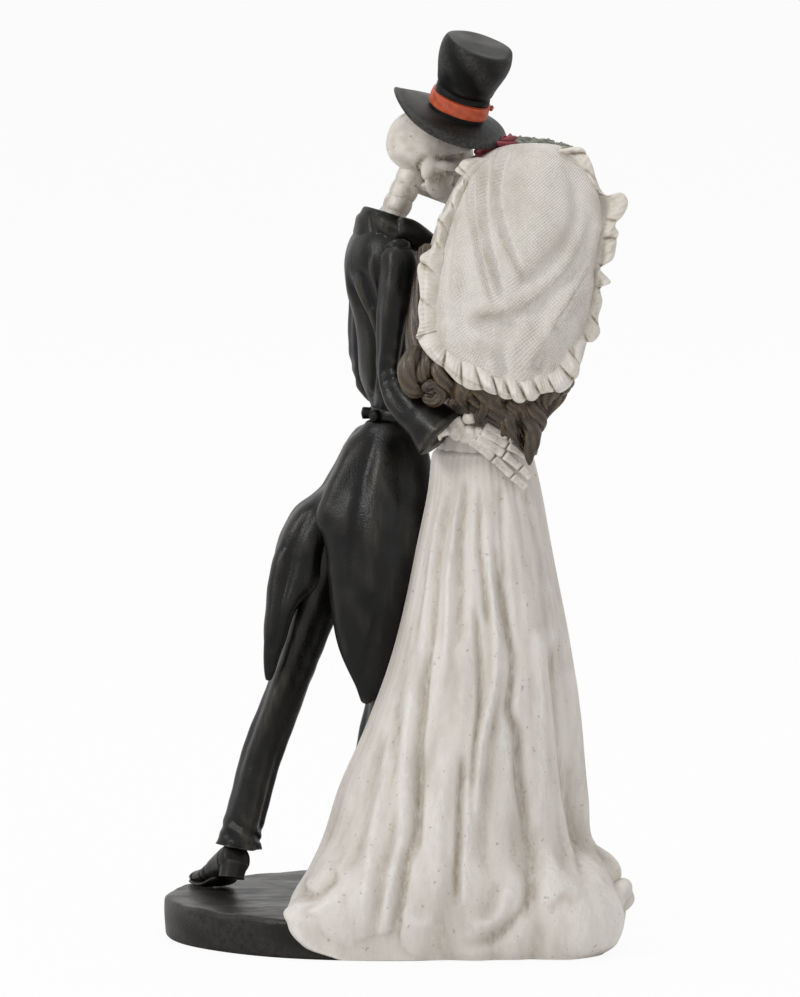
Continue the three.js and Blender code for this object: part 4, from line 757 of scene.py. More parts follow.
# Veil: level ovals open towards the groom; creases follow lines that are given across and up the veil's back,
# and one bulge swells by one less the square of the distance from its middle
veil = {
    "thickness": 1.7, "span": 112, "hollowDepth": 0.9, "crestDepth": 0.5,
    # height, left, right, middle in y, half depth
    "levels": [(129.4, 31, 38.6, -20.4, 7), (131.6, 25, 44, -19.4, 9), (135.4, 16.6, 48, -17.6, 11),
               (141, 11.4, 50, -15, 13.6), (150, 10, 52.6, -12, 15), (160, 10.6, 53.6, -9, 15.6),
               (169, 13, 54.8, -6, 14.6), (177, 16.8, 54, -2.4, 12.6), (182.6, 20.4, 51.8, -0.2, 11.2),
               (186.4, 25, 48, 1, 8.4), (188.7, 30.4, 43.8, 1.4, 4.6), (189.4, 36.6, 38, 1.6, 0.3)],
    # crease lines: depth in mm (a ridge above nought), width in mm, then (x, height) points
    "creases": [
        (1.3, 2.2, [(20, 148.4), (23.1, 149), (26.4, 150), (30.2, 150.8), (34.5, 152.3), (38.8, 154.9),
                    (43.2, 158.8), (46.4, 162.7), (48.6, 166.9), (50.2, 171.6), (50.9, 176.2),
                    (50.5, 180.4), (48, 186)]),
        (-1.1, 2.2, [(21, 146.6), (24.2, 146.4), (28, 146.6), (32.3, 148.6), (36.7, 150.8), (41, 154.4),
                     (44.8, 158), (48.1, 161.7), (50.2, 165.8), (51.8, 171), (52.4, 175.2), (51, 183)]),
        (-1.4, 2.3, [(30, 154.6), (34.5, 155.6), (38.8, 158.6), (43.2, 162.9), (46.2, 166.9), (47.8, 171),
                     (48.4, 175.2), (47.8, 179.3), (44.6, 186)]),
        (1.7, 1.5, [(40, 145), (42.1, 148.2), (45.3, 152.8), (48.6, 157.5), (50.8, 161.7), (52.6, 167.9),
                    (53, 173), (50.4, 183)]),
        (-1.3, 1.5, [(42.6, 145.4), (44.3, 148.2), (47.5, 152.8), (50.2, 157), (52.4, 161.7), (53.5, 169)]),
        (1.1, 1.3, [(39, 138), (41, 141.4), (44.3, 146.1), (47.5, 150.3), (50.2, 154.4), (52.2, 160)]),
        (-1.1, 1.5, [(38, 136), (39.4, 138.8), (42.1, 143), (47, 149)]),
        (1, 1.6, [(35.4, 136), (36.7, 138.8), (38.8, 142.5), (42.4, 148)]),
        (1.3, 0.8, [(31, 190), (29.6, 188.2), (28, 184), (27.4, 178.8), (28, 173.6), (29.6, 167.9),
                    (31.8, 162.7), (34.4, 157)]),
        (-1.2, 0.8, [(32.6, 189.6), (31, 188), (29.5, 184), (28.9, 178.8), (29.6, 173.6), (31.3, 168),
                     (34, 161.4)]),
        (1.2, 0.9, [(25, 185), (24.2, 181.9), (23.6, 177.3), (23.9, 172.1), (25, 166.4), (26.6, 160.1),
                    (28.6, 152.6)]),
        (-1.1, 0.8, [(26.4, 186), (25.5, 183), (25.1, 177.3), (25.5, 172), (26.5, 166.9), (28.1, 160.6),
                     (30, 154)]),
        (1, 0.8, [(22.6, 183), (22, 180.4), (21.6, 175), (22.3, 169), (23.6, 162.2), (25.3, 156.5),
                  (27, 150.6)]),
        (-1, 0.7, [(23, 182), (22.8, 178.8), (22.8, 173), (23.5, 166.9), (25, 160.6), (26.6, 154.6)]),
        (-1, 1.5, [(17.4, 172), (16.4, 168), (15.6, 162.7), (14.8, 155.4), (15.3, 149), (17.6, 142)]),
        (0.8, 1.4, [(19.4, 174), (18.6, 168), (18, 160), (18, 152)]),
        (1.3, 1, [(23.4, 149.6), (26.4, 150.2), (29.6, 149.6)]),
        (0.8, 2, [(14.6, 147), (20.4, 141.9), (28, 140.6)]),
        (-1.1, 1.9, [(18, 146.6), (24, 143.6), (29.6, 143.6), (35, 147.6)]),
        (-0.6, 1.2, [(31, 144), (30.4, 139), (31, 134)]), (0.6, 1.2, [(28, 143), (27.4, 139), (28, 134)]),
    ],
    # x and height of the bulge's middle, its half width, half height and lift
    "bulge": (37.6, 172, 11, 17, 1.2),
}


def veilRows(count):
    return smoothRows([(h, (left + right) / 2, y, (right - left) / 2, depth)
                       for h, left, right, y, depth in veil["levels"][::-1]], count)


# The veil's own y where x and a height are given, on its back
def veilBack(x, height):
    rows = veilRows(400)[::-1]
    middle, y, half, depth = (np.interp(height, rows[:, 0], rows[:, k]) for k in (1, 2, 3, 4))
    return y - depth * np.sqrt(clamp(1 - ((x - middle) / half) ** 2))


def makeVeil(rows=200, columns=240):
    line = veilRows(rows)
    span = math.radians(veil["span"])
    angle = -math.pi / 2 + np.linspace(-span, span, columns)[None, :]
    t = rowShares(rows)
    height, middle, y, half, depth = (line[:, k:k + 1] for k in range(5))
    half, depth = np.maximum(half, 0.1), np.maximum(depth, 0.1)
    x = middle + half * np.cos(angle)
    fall = 0.5 * np.sin(13 * angle + 2 * t) * t * (1 - 0.4 * np.abs(np.sin(angle)))
    back = clamp(-np.sin(angle) * 1.6)
    fall = fall + lineDepth(veil["creases"], x, height) * back
    middleX, middleHeight, halfWidth, halfHeight, lift = veil["bulge"]
    distance = ((x - middleX) / halfWidth) ** 2 + ((height - middleHeight) / halfHeight) ** 2
    fall = fall + lift * clamp(1 - distance) * back
    points = np.stack([middle + (half + fall) * np.cos(angle), y + (depth + fall) * np.sin(angle),
                       height + 0 * angle], -1)
    points[0] = points[0].mean(axis=0)
    relief = reliefOf(np.concatenate([points, points[:, ::-1]], axis=1), 4)[:, :columns]
    cloth = clothOf(points)
    cloth[..., 0] = cloth[..., 0] - cloth[:, columns // 2:columns // 2 + 1, 0]
    index = np.arange(rows * columns).reshape(rows, columns)
    quads = np.stack([index[:-1, :-1], index[:-1, 1:], index[1:, 1:], index[1:, :-1]], -1).reshape(-1, 4)
    hollow, crest = clamp(relief / veil["hollowDepth"]), clamp(-relief / veil["crestDepth"])
    piece = finishPiece("veil", points.reshape(-1, 3), quads[:, ::-1].tolist(), hollow, crest, cloth,
                        "veilIvory")
    weld = piece.modifiers.new("closeCrown", "WELD")
    weld.merge_threshold = 0.02 * mm
    wall = piece.modifiers.new("wall", "SOLIDIFY")
    wall.thickness = veil["thickness"] * mm
    wall.offset = -1
    return piece


# Ruffle: a puffed strip from a line sunk in the veil to an outer line. Each gather between two slits swells
# by one less a power of its distance from its middle; each slit cuts in as a narrow bell, and two sets of
# sine waves lay fine and broad pleats across.
ruffles = {
    "left": {"slits": [0, 0.13, 0.22, 0.34, 0.45, 0.56, 0.7, 0.84, 1], "depth": 1.1, "slit": 1.1,
             "lean": 0.05,
             "outer": [(23.2, 186.3), (19.6, 185.6), (17.6, 183.4), (19.6, 181.6), (17.2, 178.4),
                       (15.8, 174.4), (13.2, 172), (13.2, 169.2), (12, 165), (9.2, 162.8), (8.4, 160.2),
                       (8.9, 155), (8.3, 150.4), (8.6, 146.4), (7.4, 143.2)],
             "inner": [(26.4, 186), (24.4, 184), (22.4, 181.6), (20.8, 179.4), (19.4, 176.4),
                       (18.2, 173.6), (16.8, 170.8), (15.8, 168), (15, 165), (14.8, 162), (14, 158.6),
                       (13.6, 154.6), (13.2, 150.6), (13.2, 147.4), (13.4, 145)]},
    "bottom": {"slits": [0, 0.15, 0.27, 0.355, 0.43, 0.51, 0.57, 0.65, 0.75, 0.87, 1], "depth": 2,
               "slit": 2.2, "lean": -0.04,
               "outer": [(7.4, 143), (11.6, 138.4), (16.1, 134.2), (20.1, 130.8), (26.4, 130),
                         (30.4, 128.4), (36.1, 128.2), (40.1, 129.8), (43.8, 129.9), (47.8, 132.8),
                         (48.9, 136)],
               "inner": [(13, 145), (15.2, 142), (18, 140), (21, 138.4), (26, 136.4), (30, 135.2),
                         (35, 135), (38.6, 135.8), (41.6, 137), (44, 139), (45.2, 142)]},
    "right": {"slits": [0, 0.05, 0.12, 0.21, 0.36, 0.45, 0.57, 0.68, 0.81, 0.91, 1], "depth": 1.4,
              "slit": 1.4, "lean": -0.045,
              "outer": [(44.6, 189.2), (49.6, 188.4), (51.8, 185), (53.6, 179.4), (55.8, 177),
                        (59.2, 177.8), (60.6, 175.4), (59.6, 172.4), (57.6, 170), (58.5, 168),
                        (57.6, 164.6), (56.6, 161.6), (53.8, 159.6), (56.3, 156.4), (54, 155),
                        (54.4, 151.6), (53.4, 147.8), (53.8, 144.4), (52, 142), (49.6, 141.4),
                        (48.9, 136.4)],
              "inner": [(43, 187.4), (46.6, 186), (49.4, 183), (51.4, 179.6), (52.8, 177.4), (53.8, 175.4),
                        (54, 173), (53.8, 170.6), (53.4, 168), (53.2, 165.6), (53, 163), (52.6, 160.6),
                        (52.2, 158), (51.8, 155.6), (51.4, 153.4), (51, 151), (50.4, 148.6), (49.6, 146.4),
                        (48.6, 144.4), (47.2, 142.8), (45.4, 141.4)]},
}


def ruffleGrid(shape, rows=420, sides=72):
    inner, outer = (smoothRows(shape[key], rows) for key in ("inner", "outer"))
    t = rowShares(rows)
    turn = ringAngles(sides)
    slits = np.array(shape["slits"])
    across = 0.5 - 0.5 * np.cos(turn)
    leaning = clamp(t + shape["lean"] * (across - 0.6))
    place = np.clip(np.searchsorted(slits, leaning, side="right") - 1, 0, len(slits) - 2)
    wide = slits[place + 1] - slits[place]
    share = (leaning - slits[place]) / wide
    puff = 1 - np.abs(2 * share - 1) ** 2.4
    size = 0.8 + 0.25 * np.sin(2.4 * place + 1) + 0.25 * np.sin(5.3 * place)
    slit = bell(np.minimum(share, 1 - share) * wide * 60, 0, 0.4)
    endShrink = roundEnds(t, 0.03, 0.03)
    rolled = clamp((across - 0.55) / 0.45)
    swell = clamp(1.6 * across) ** 1.3 * np.sqrt(clamp(1 - rolled**2))
    reach = across * (0.9 + 0.12 * puff * size)
    x, height = (inner[:, k:k + 1] + (outer[:, k:k + 1] - inner[:, k:k + 1]) * reach for k in (0, 1))
    edge = veilBack(inner[:, :1], inner[:, 1:2])
    y = edge + (veilBack(x, height) - edge) * 0.25 * across + 0.7 * (1 - across)
    pleats = 0.1 * np.sin(tau * t * 46 + 5 * np.sin(9 * t))
    pleats = pleats + 0.25 * np.sin(tau * t * 13 + 3 * across + 2 * np.sin(11 * t))
    front = (0.25 + shape["depth"] * puff * size - 0.5 * shape["slit"] * slit + pleats) * swell
    thick = np.where(np.sin(turn) > 0, front / np.maximum(np.sin(turn), 0.2), 0.6 + 0.5 * across)
    return np.stack([x + 0 * y, y - thick * np.sin(turn) * endShrink - 0.5 * across, height + 0 * y], -1)


def makeRuffles():
    for edge, shape in ruffles.items():
        makePiece(f"veil_ruffle_{edge}", [ruffleGrid(shape)], "ruffleIvory", reach=4, reliefDepth=0.42,
                  name=f"veilRuffle{edge.title()}")


makePlinth()
makeSkirt()
makeTrain()
makeBodice()
makeVeil()
makeRuffles()
print("stage: plinth, gown and veil made")


# Hair: combed locks; each is a tube that snakes sideways on its way, and its strands, the size of a sine,
# twist round it. The mass behind them has sine waves that turn with its height.
hair = {
    "fall": [(113, 36.6, -19.6, 1.2, 1.6), (119, 34.6, -19.4, 3.6, 2.4), (123, 32.8, -19.2, 7.8, 3.6),
             (128, 31, -18.8, 13.8, 4.4), (135, 29.7, -17.6, 16, 5.2), (143, 29.5, -15.6, 16.4, 6),
             (153, 30.1, -12.4, 16, 6.8), (163, 31.3, -7.6, 14.4, 7.4), (172, 33.1, -3.6, 11, 7.6),
             (180, 35.1, -0.6, 9.4, 8.2), (187.4, 35.3, -0.2, 6.2, 6)],
    # locks of the fall: start x and height, end x and height, thickness, sway
    "locks": [(17, 143, 14.6, 127.5, 3, 1.5), (20, 141, 20, 124, 3.2, -1.4), (24, 139, 25, 121, 3.2, 1.6),
              (28, 137, 29, 118.6, 3.3, -1.5), (32, 136, 33, 116.6, 3, 1.1),
              (35.4, 135, 36.8, 111.4, 2.7, -0.7), (39, 136, 37.8, 119, 2.7, 1.1),
              (42, 138, 39.8, 123.6, 2.8, -1), (45, 140, 44, 127.6, 2.7, 1.1),
              (22, 134, 17.4, 125.6, 2.6, 1.2), (33, 130, 30.6, 118.6, 2.3, 1),
              (37, 128, 37.2, 114, 1.8, 0.6)],
    "side": [(11, -7, 165, 2, 2), (10.2, -10.4, 158, 2.4, 2.2), (9, -12.6, 150, 2.6, 2.6),
             (8.8, -15, 142, 3.4, 3), (10.6, -17.4, 136, 4.4, 3.4), (12.6, -19, 131.6, 3.6, 3)],
    # side waves: each is x, y, height and half thickness down its path
    "waves": [[(10.6, -17, 141, 1.4), (12.6, -18.6, 138.6, 2.3), (15.2, -19.6, 136.2, 2.6),
               (15.6, -20.4, 133, 2.5), (13.4, -20.6, 130.6, 1.8)],
              [(10, -17, 140.6, 1.6), (7.4, -18.4, 138, 2.5), (6.2, -19.4, 134.4, 2.8),
               (7.2, -19.8, 130.8, 2.5), (10.2, -20.2, 128.8, 1.9)],
              [(9.6, -20.4, 128.6, 1.5), (12.8, -21, 127.6, 1.7), (14.4, -21.6, 129.6, 1.6),
               (12.6, -22, 131.6, 1.4), (10.6, -22, 131, 1.2), (10.9, -22.2, 129.7, 0.9)],
              [(11.4, -19.6, 140, 1.2), (10.8, -20.6, 137, 1.8), (9.8, -21, 134, 1.9),
               (10, -21, 131.6, 1.3)]],
}


def strands(count, wind, depth=0.28):
    return lambda turn, t: depth * np.abs(np.sin(0.5 * count * turn + wind * t)) - depth / 2


def makeHair():
    mass = stack(hair["fall"], rows=140, sides=160,
                 fold=lambda turn, t, height: 0.5 * np.sin(13 * turn + 0.35 * height), ends=(0.05, 0.1))
    grids = [mass]
    for number, (x0, h0, x1, h1, thick, sway) in enumerate(hair["locks"]):
        t = np.linspace(0, 1, 9)
        x = x0 + (x1 - x0) * t + sway * np.sin(1.5 * tau * t + number)
        height = h0 + (h1 - h0) * t
        y = -20.8 - 1.6 * np.sin(math.pi * t) - 0.7 * np.cos(1.5 * tau * t + number) + 0.1 * (height - 125)
        size = thick * (0.8 + 0.25 * np.sin(math.pi * t) - 0.35 * t)
        path = np.stack([x, y, height, size, size * 0.72], -1)
        grids.append(tube(path.tolist(), rows=90, sides=40, fold=strands(6, 9 + number), ends=(0.1, 0.3)))
    makePiece("hair_fall", grids, "hairBrown", reliefDepth=0.2)
    curls = [tube(hair["side"], rows=140, sides=48, fold=strands(7, 12), ends=(0.05, 0.15))]
    curls += [tube(path, rows=120, sides=48, fold=strands(7, 9, 0.2), ends=(0.12, 0.2))
              for path in hair["waves"]]
    makePiece("hair_side_curl", curls, "hairBrown", reliefDepth=0.2)


# Skull: a field of eggs melted together, less the eggs of the hollows, met along rays from its middle.
# Places and sizes are shares of its half length forward and up, and of its half width sideways.
skullBones = [((-0.08, 0, 0.06), (0.9, 0.98, 0.8)), ((0.5, 0, 0.14), (0.42, 0.72, 0.5)),
              ((-0.45, 0, -0.12), (0.5, 0.72, 0.5)), ((0.92, 0, 0.04), (0.3, 0.6, 0.2)),
              ((0, 0, -0.42), (0.6, 0.58, 0.4)), ((0.8, 0, -0.62), (0.4, 0.44, 0.42)),
              ((0.98, 0, -0.2), (0.36, 0.18, 0.34))]
skullBones += [((x, side * y, z), size) for side in (1, -1) for (x, y, z), size in
               [((0.76, 0.6, -0.42), (0.3, 0.26, 0.19)), ((0.36, 0.86, -0.42), (0.38, 0.13, 0.12)),
                ((-0.06, 0.74, -0.52), (0.19, 0.2, 0.34)), ((0.36, 0.62, -0.72), (0.32, 0.2, 0.3))]]
skullHollows = [((1.24, 0, -0.5), (0.26, 0.13, 0.2))]
skullHollows += [((x, side * y, z), size) for side in (1, -1) for (x, y, z), size in
                 [((1.14, 0.38, -0.2), (0.38, 0.26, 0.23)), ((0.44, 1.16, -0.1), (0.36, 0.26, 0.34)),
                  ((0.4, 1.0, -0.68), (0.3, 0.2, 0.14))]]


def eggField(points, centre, sizes):
    return (np.linalg.norm((points - centre) / sizes, axis=-1) - 1) * min(sizes)


def meltMin(a, b, k=0.09):
    h = clamp(0.5 + 0.5 * (b - a) / k)
    return b * (1 - h) + a * h - k * h * (1 - h)


def skullField(points):
    bone = np.full(points.shape[:-1], 9.0)
    for centre, sizes in skullBones:
        bone = meltMin(bone, eggField(points, np.array(centre), np.array(sizes)))
    for centre, sizes in skullHollows:
        bone = -meltMin(-bone, eggField(points, np.array(centre), np.array(sizes)), 0.05)
    return bone


def skullGrid(matrix, length, width, rows=130, sides=190, depths=90):
    polar = rowShares(rows, 0.012, math.pi - 0.012)
    turn = ringAngles(sides)
    rays = turned(np.sin(polar), turn, np.cos(polar))
    middle = np.array([0.15, 0, -0.15])
    reach = np.linspace(0.1, 1.5, depths)
    field = np.stack([skullField(middle + rays * r) for r in reach], -1)
    last = depths - 1 - np.argmax(field[..., ::-1] < 0, axis=-1)
    last = np.minimum(last, depths - 2)
    inside = np.take_along_axis(field, last[..., None], -1)[..., 0]
    outside = np.take_along_axis(field, last[..., None] + 1, -1)[..., 0]
    hit = reach[last] + (reach[1] - reach[0]) * clamp(inside / (inside - outside))
    scale = np.array([length, width, length]) / 2
    return placed((middle + rays * hit[..., None]) * scale, matrix)


# Teeth: small eggs side by side; each one's place forward falls with the square of its place sideways
def toothRow(matrix, length, width, height, tall, reach, count=12):
    l, w = length / 2, width / 2
    side = np.linspace(-0.36, 0.36, count)
    return [egg(((reach - 1.5 * y * y) * l, y * w, height * l),
                (0.055 * l, 0.034 * w, tall * l), matrix, 10, 10)
            for y in side]


# Head: the skull with its upper teeth, and the jaw, a bar bent from hinge to chin to hinge, with a floor
# inside it and the lower teeth. Stations and eggs are shares of the half length, and sideways of the half
# width; a row of teeth has its height, a tooth's half height and its reach forward.
jaw = {
    "half": [(0.12, 0.8, -0.44, 0.1, 0.24), (0.15, 0.78, -0.72, 0.1, 0.28), (0.26, 0.72, -0.96, 0.13, 0.27),
             (0.56, 0.56, -1.08, 0.15, 0.23), (0.88, 0.3, -1.16, 0.16, 0.22)],
    "chin": (1.04, 0, -1.2, 0.16, 0.22), "floor": ((0.4, 0, -0.98), (0.5, 0.62, 0.17)),
    "upperTeeth": (-0.98, 0.1, 1.12), "lowerTeeth": (-1.13, 0.085, 1.08),
}


def makeSkull(who, origin, heading, nod, length, width):
    matrix = facing(origin, heading, nod)
    grids = [skullGrid(matrix, length, width)] + toothRow(matrix, length, width, *jaw["upperTeeth"])
    makePiece(f"{who}_skull", grids, "bonePaint", reach=4, reliefDepth=0.17)
    l, w = length / 2, width / 2
    half = (np.array(jaw["half"]) * (l, w, l, l, l)).tolist()
    chin = (np.array(jaw["chin"]) * (l, w, l, l, l)).tolist()
    path = half + [chin] + [(x, -y, z, a, b) for x, y, z, a, b in half[::-1]]
    bar = placed(tube(path, rows=150, sides=40, across=(0, 1, 0), ends=(0.05, 0.05)), matrix)
    lower = toothRow(matrix, length, width, *jaw["lowerTeeth"])
    floor = egg(*(np.array(jaw["floor"]) * (l, w, l)), matrix, 40, 60)
    makePiece(f"{who}_jaw", [bar, floor] + lower, "bonePaint", reliefDepth=0.12)


# Neck: a stack of vertebrae; the tube swells and pinches once for each bone, by a power of a cosine's size.
# It goes some of the way, its reach, from its foot to the head's origin.
def makeNeck(who, foot, reach, diameter, count):
    foot, head = np.array(foot, float), np.array(heads[who]["origin"], float)
    r = diameter / 2
    path = [[*(foot + (head - foot) * reach * share), r, r] for share in np.linspace(0, 1, 6)]

    def bones(turn, t):
        ring = np.abs(np.cos(math.pi * count * t + 0.3 * np.sin(2 * turn))) ** 0.7
        return r * (0.09 * ring - 0.04) + 0.2 * ring * np.cos(4 * turn + 2 * t)

    makePiece(f"{who}_neck", [tube(path, rows=150, sides=64, fold=bones)], "bonePaint", reach=4)


heads = {
    "groom": {"origin": (10.4, 12, 188), "heading": 22, "nod": 10, "length": 20.4, "width": 16},
    "bride": {"origin": (34, 1, 179.5), "heading": 150, "nod": 6, "length": 19, "width": 15},
}
necks = {
    "groom": {"foot": (0.4, 9, 166.5), "reach": 0.78, "diameter": 6.6, "count": 5},
    "bride": {"foot": (28.5, -2, 159), "reach": 0.7, "diameter": 6, "count": 4},
}
for who, head in heads.items():
    makeSkull(who, **head)
for who, neck in necks.items():
    makeNeck(who, **neck)
makeHair()
print("stage: heads and hair made")

# Top hat: turned profiles about the leaning crown. Sine waves round them dent the crown and curl the brim,
# and bells make the crown's crease, its bulge and the brim's tip.
hat = {
    "seat": (17.9, 9.6, 195.6), "lean": (5.8, -4.2, 16.5),
    "brimInner": 5.6, "brimRadius": 14.9, "brimThickness": 1.3,
    # radius and height up the crown, to the middle of its top
    "crown": [(7.2, 0), (7.1, 2), (6.8, 4.4), (6.75, 6.4), (7.2, 9), (8, 12), (8.75, 15), (9.15, 17.4),
              (8.95, 19), (8.2, 19.7), (6, 19.8), (3, 19.8), (0.1, 19.8)],
    "bandLow": 1.9, "bandHigh": 5.2, "bandRadius": 7.7,
}


def makeHat():
    matrix = standing(hat["seat"], hat["lean"])
    profile = smoothRows(hat["crown"], 110)
    turn = ringAngles(120)
    radius, height = profile[:, :1], profile[:, 1:2]
    dent = 0.3 * np.sin(2 * turn + 0.25 * height) + 0.16 * np.sin(5 * turn + 0.6 * height)
    crease = 0.7 * bell(height - 7.4, 0.7 * np.sin(turn), 0.6) * (0.6 + 0.4 * np.sin(2 * turn + 4))
    bulge = 0.9 * bell(height, 14, 4) * clamp(-np.cos(turn))
    body = radius + (dent + bulge - crease) * clamp(height / 5) * clamp(radius / 6)
    lift = height + 0.25 * np.sin(2 * turn + 1) * clamp(height / 19) * clamp(radius / 6)
    makePiece("hat_crown", [placed(turned(body, turn, lift), matrix)], "hatBlack", reach=4, reliefDepth=0.22)

    inner, thick = hat["brimInner"], hat["brimThickness"]
    share = np.concatenate([np.linspace(0, 1, 36), np.linspace(1, 0, 36)])[:, None]
    over = np.concatenate([np.ones(33), np.linspace(0.8, -0.8, 6), -np.ones(33)])[:, None]
    share = share + 0.035 * np.sqrt(clamp(1 - over**2))
    tip = bell(turn, math.pi, 0.5)
    front = bell((turn + math.pi) % tau, math.pi, 0.8)
    edge = hat["brimRadius"] * (1 + 0.1 * tip - 0.09 * front + 0.012 * np.sin(3 * turn + 0.8))
    radial = inner + (edge - inner) * share
    curl = share**2 * (0.85 * np.cos(2 * turn) - 1.35 - 0.9 * front) + 1.6 * share**6 * tip
    local = turned(radial, turn, over * thick / 2 + curl + 0.3 * (1 - share))
    makePiece("hat_brim", [placed(local, matrix)], "hatBlack", reach=4, reliefDepth=0.22)

    low, high, r = hat["bandLow"], hat["bandHigh"], hat["bandRadius"]
    ring = [(r - 0.6, low - 0.1), (r - 0.05, low + 0.05), (r + 0.06, low + 0.5), (r, (low + high) / 2),
            (r - 0.06, high - 0.5), (r - 0.16, high - 0.05), (r - 0.8, high + 0.1)]
    profile = smoothRows(ring, 40)
    wrinkle = 0.04 * np.sin(7 * turn + 3 * profile[:, 1:2]) + 0.03 * np.sin(17 * turn)
    band = turned(profile[:, :1] + wrinkle, turn, profile[:, 1:2] + 0.06 * np.sin(3 * turn))
    knot = egg((r + 0.25, -0.4, (low + high) / 2 + 1.2), (0.5, 0.7, 0.8), None, 14, 18)
    makePiece("hat_band", [placed(band, matrix), placed(knot, matrix)], "bandOrange", reliefDepth=0.12)


# Wreath: a band with two sine waves twisting along it, roses whose petals rise with a power of the fraction
# of a spiral's turn, and leaves with a keel and saw edges
wreath = {
    "top": (34, 5.6, 188.575), "bandRadius": 1.3,
    "band": [(-12.4, 2, -5.4), (-6, 1.6, -1.4), (1, 1.2, 0.3), (8, 1.4, -0.8), (13.6, 2, -5)],
    "roses": [(-8.2, -0.6, -1.4), (-3.6, -0.4, -0.2), (-6, 4.2, -1.6)], "roseRadius": 3,
    "leaves": [0.6, 4, 7.6, 10.8], "leafLength": 6,
}


def roseGrid(seat):
    r = wreath["roseRadius"]
    t = rowShares(70)
    turn = ringAngles(110)
    polar = math.pi * (1 - t) * 0.97 + 0.03
    whorl = (turn * 5 / tau + 3.1 * clamp(1.2 - polar / 2)) % 1
    petal = (whorl**0.6 - 0.55) * 1.2 * clamp(np.sin(polar)) ** 0.6
    radius = r * np.sin(polar) * (1 + 0.06 * np.sin(5 * turn)) + petal
    cup = -1.1 * bell(polar, 0, 0.45) + 0.5 * whorl * bell(polar, 0.8, 0.5)
    local = turned(radius, turn, 0.82 * r * np.cos(polar) + cup)
    place = np.array(wreath["top"]) + seat
    return placed(local, standing(place, (seat[0], seat[1] * 2, 8)))


def leafGrid(number, along):
    half = wreath["leafLength"] / 2
    s = rowShares(60, 0.01, 0.99)
    turn = ringAngles(40)
    wide = 1.5 * np.sin(math.pi * s**0.8) ** 0.8 * (1 + 0.1 * np.sin(26 * s))
    side = wide * np.cos(turn)
    keel = 0.35 * np.abs(side) - 0.25 * bell(side, 0, 0.25) + 0.12 * np.sin(9 * np.abs(side) - 20 * s)
    local = np.stack([-half + 2 * half * s + 0 * turn, side,
                      (0.28 + 0.2 * np.sin(math.pi * s)) * np.sin(turn) + keel * np.sin(math.pi * s)
                      + 0.5 * np.cos(3 * s)], -1)
    odd = number % 2
    place = np.array(wreath["top"]) + (along, -0.6 if odd else 1.6, 0.6 - 0.012 * along * along)
    return placed(local, facing(place, -24 if odd else 28, 10 if odd else -8, 24))


def makeWreath():
    top = np.array(wreath["top"])
    path = [[*(top + place), wreath["bandRadius"]] for place in wreath["band"]]
    twist = tube(path, rows=160, sides=48, ends=(0.04, 0.04),
                 fold=lambda turn, t: 0.3 * np.sin(2 * turn + 40 * t))
    makePiece("wreath_band", [twist], "leafGreen", reliefDepth=0.2)
    for number, seat in enumerate(wreath["roses"], 1):
        makePiece(f"rose_{number}", [roseGrid(np.array(seat, float))], "roseRed", reach=2)
    for number, along in enumerate(wreath["leaves"], 1):
        makePiece(f"leaf_{number}", [leafGrid(number, along)], "leafGreen", reach=2, reliefDepth=0.15)


makeHat()
makeWreath()
print("stage: hat and wreath made")

# Groom's suit. The coat body is a stack of ovals turned to his heading; grooves and ridges along lines make
# the folds of its back, and soft waves run round it.
groom = {
    "heading": 25, "waist": (2.6, 6.5, 121), "chest": (-1, 8, 152), "neck": (0.4, 9, 170.5),
    # height, x, y, half depth, half width
    "coat": [(118.5, 2.6, 6.5, 5, 7.6), (122.5, 2.6, 6.5, 5, 7.6), (130, 1.1, 7.1, 6.6, 9.4),
             (140, 1.1, 7.1, 7.1, 10.5), (152, -1, 8, 7.5, 11.1), (159.5, -1.2, 8, 7.7, 11.5),
             (165, -1, 8, 6.4, 9.6), (170, 0.4, 9, 3.8, 5.6)],
    # creases: depth in mm, width in mm, then (x, height) points
    "creases": [(-1.5, 1, [(-10.2, 158), (-8.5, 152.9), (-7.1, 150.2), (-4.4, 144.7), (-2.7, 138.9),
                           (-2.4, 132.1), (-2.8, 127.6), (-4, 123)]),
                (0.7, 0.9, [(-7.4, 155), (-5.4, 150.4), (-2.9, 145.2), (-1.2, 139), (-0.9, 132),
                            (-2.2, 126)]),
                (0.6, 0.5, [(-2.6, 162.6), (-3, 158), (-1.4, 152), (-0.8, 146), (-1.6, 136), (-2, 128),
                            (-4.6, 123)]),
                (0.5, 1.6, [(-9.4, 148), (-8, 140), (-6.6, 131)]),
                (-0.5, 0.8, [(-5.4, 158), (-4, 153), (-2.6, 148)]),
                (0.4, 0.8, [(-6.8, 157), (-5, 152), (-3.8, 148)]),
                (-0.5, 0.9, [(1.6, 142), (0.4, 134), (0.8, 125)])],
}


def makeCoat():
    rows, sides = 180, 200
    plain = stack(groom["coat"], rows, sides, groom["heading"])
    behind = clamp((groom["chest"][1] - plain[..., 1]) / 3)
    x, height = plain[..., 0], plain[..., 2]
    waves = 0.16 * np.sin(3 * np.arctan2(plain[..., 1] - 8, x) + 0.2 * height)
    extra = lineDepth(groom["creases"], x, height) * behind + waves
    grid = stack(groom["coat"], rows, sides, groom["heading"], fold=lambda turn, t, height: extra)
    makePiece("coat_torso", [rippled(grid, 9, 0.1)], "suitBlack", reach=4, reliefDepth=0.29)


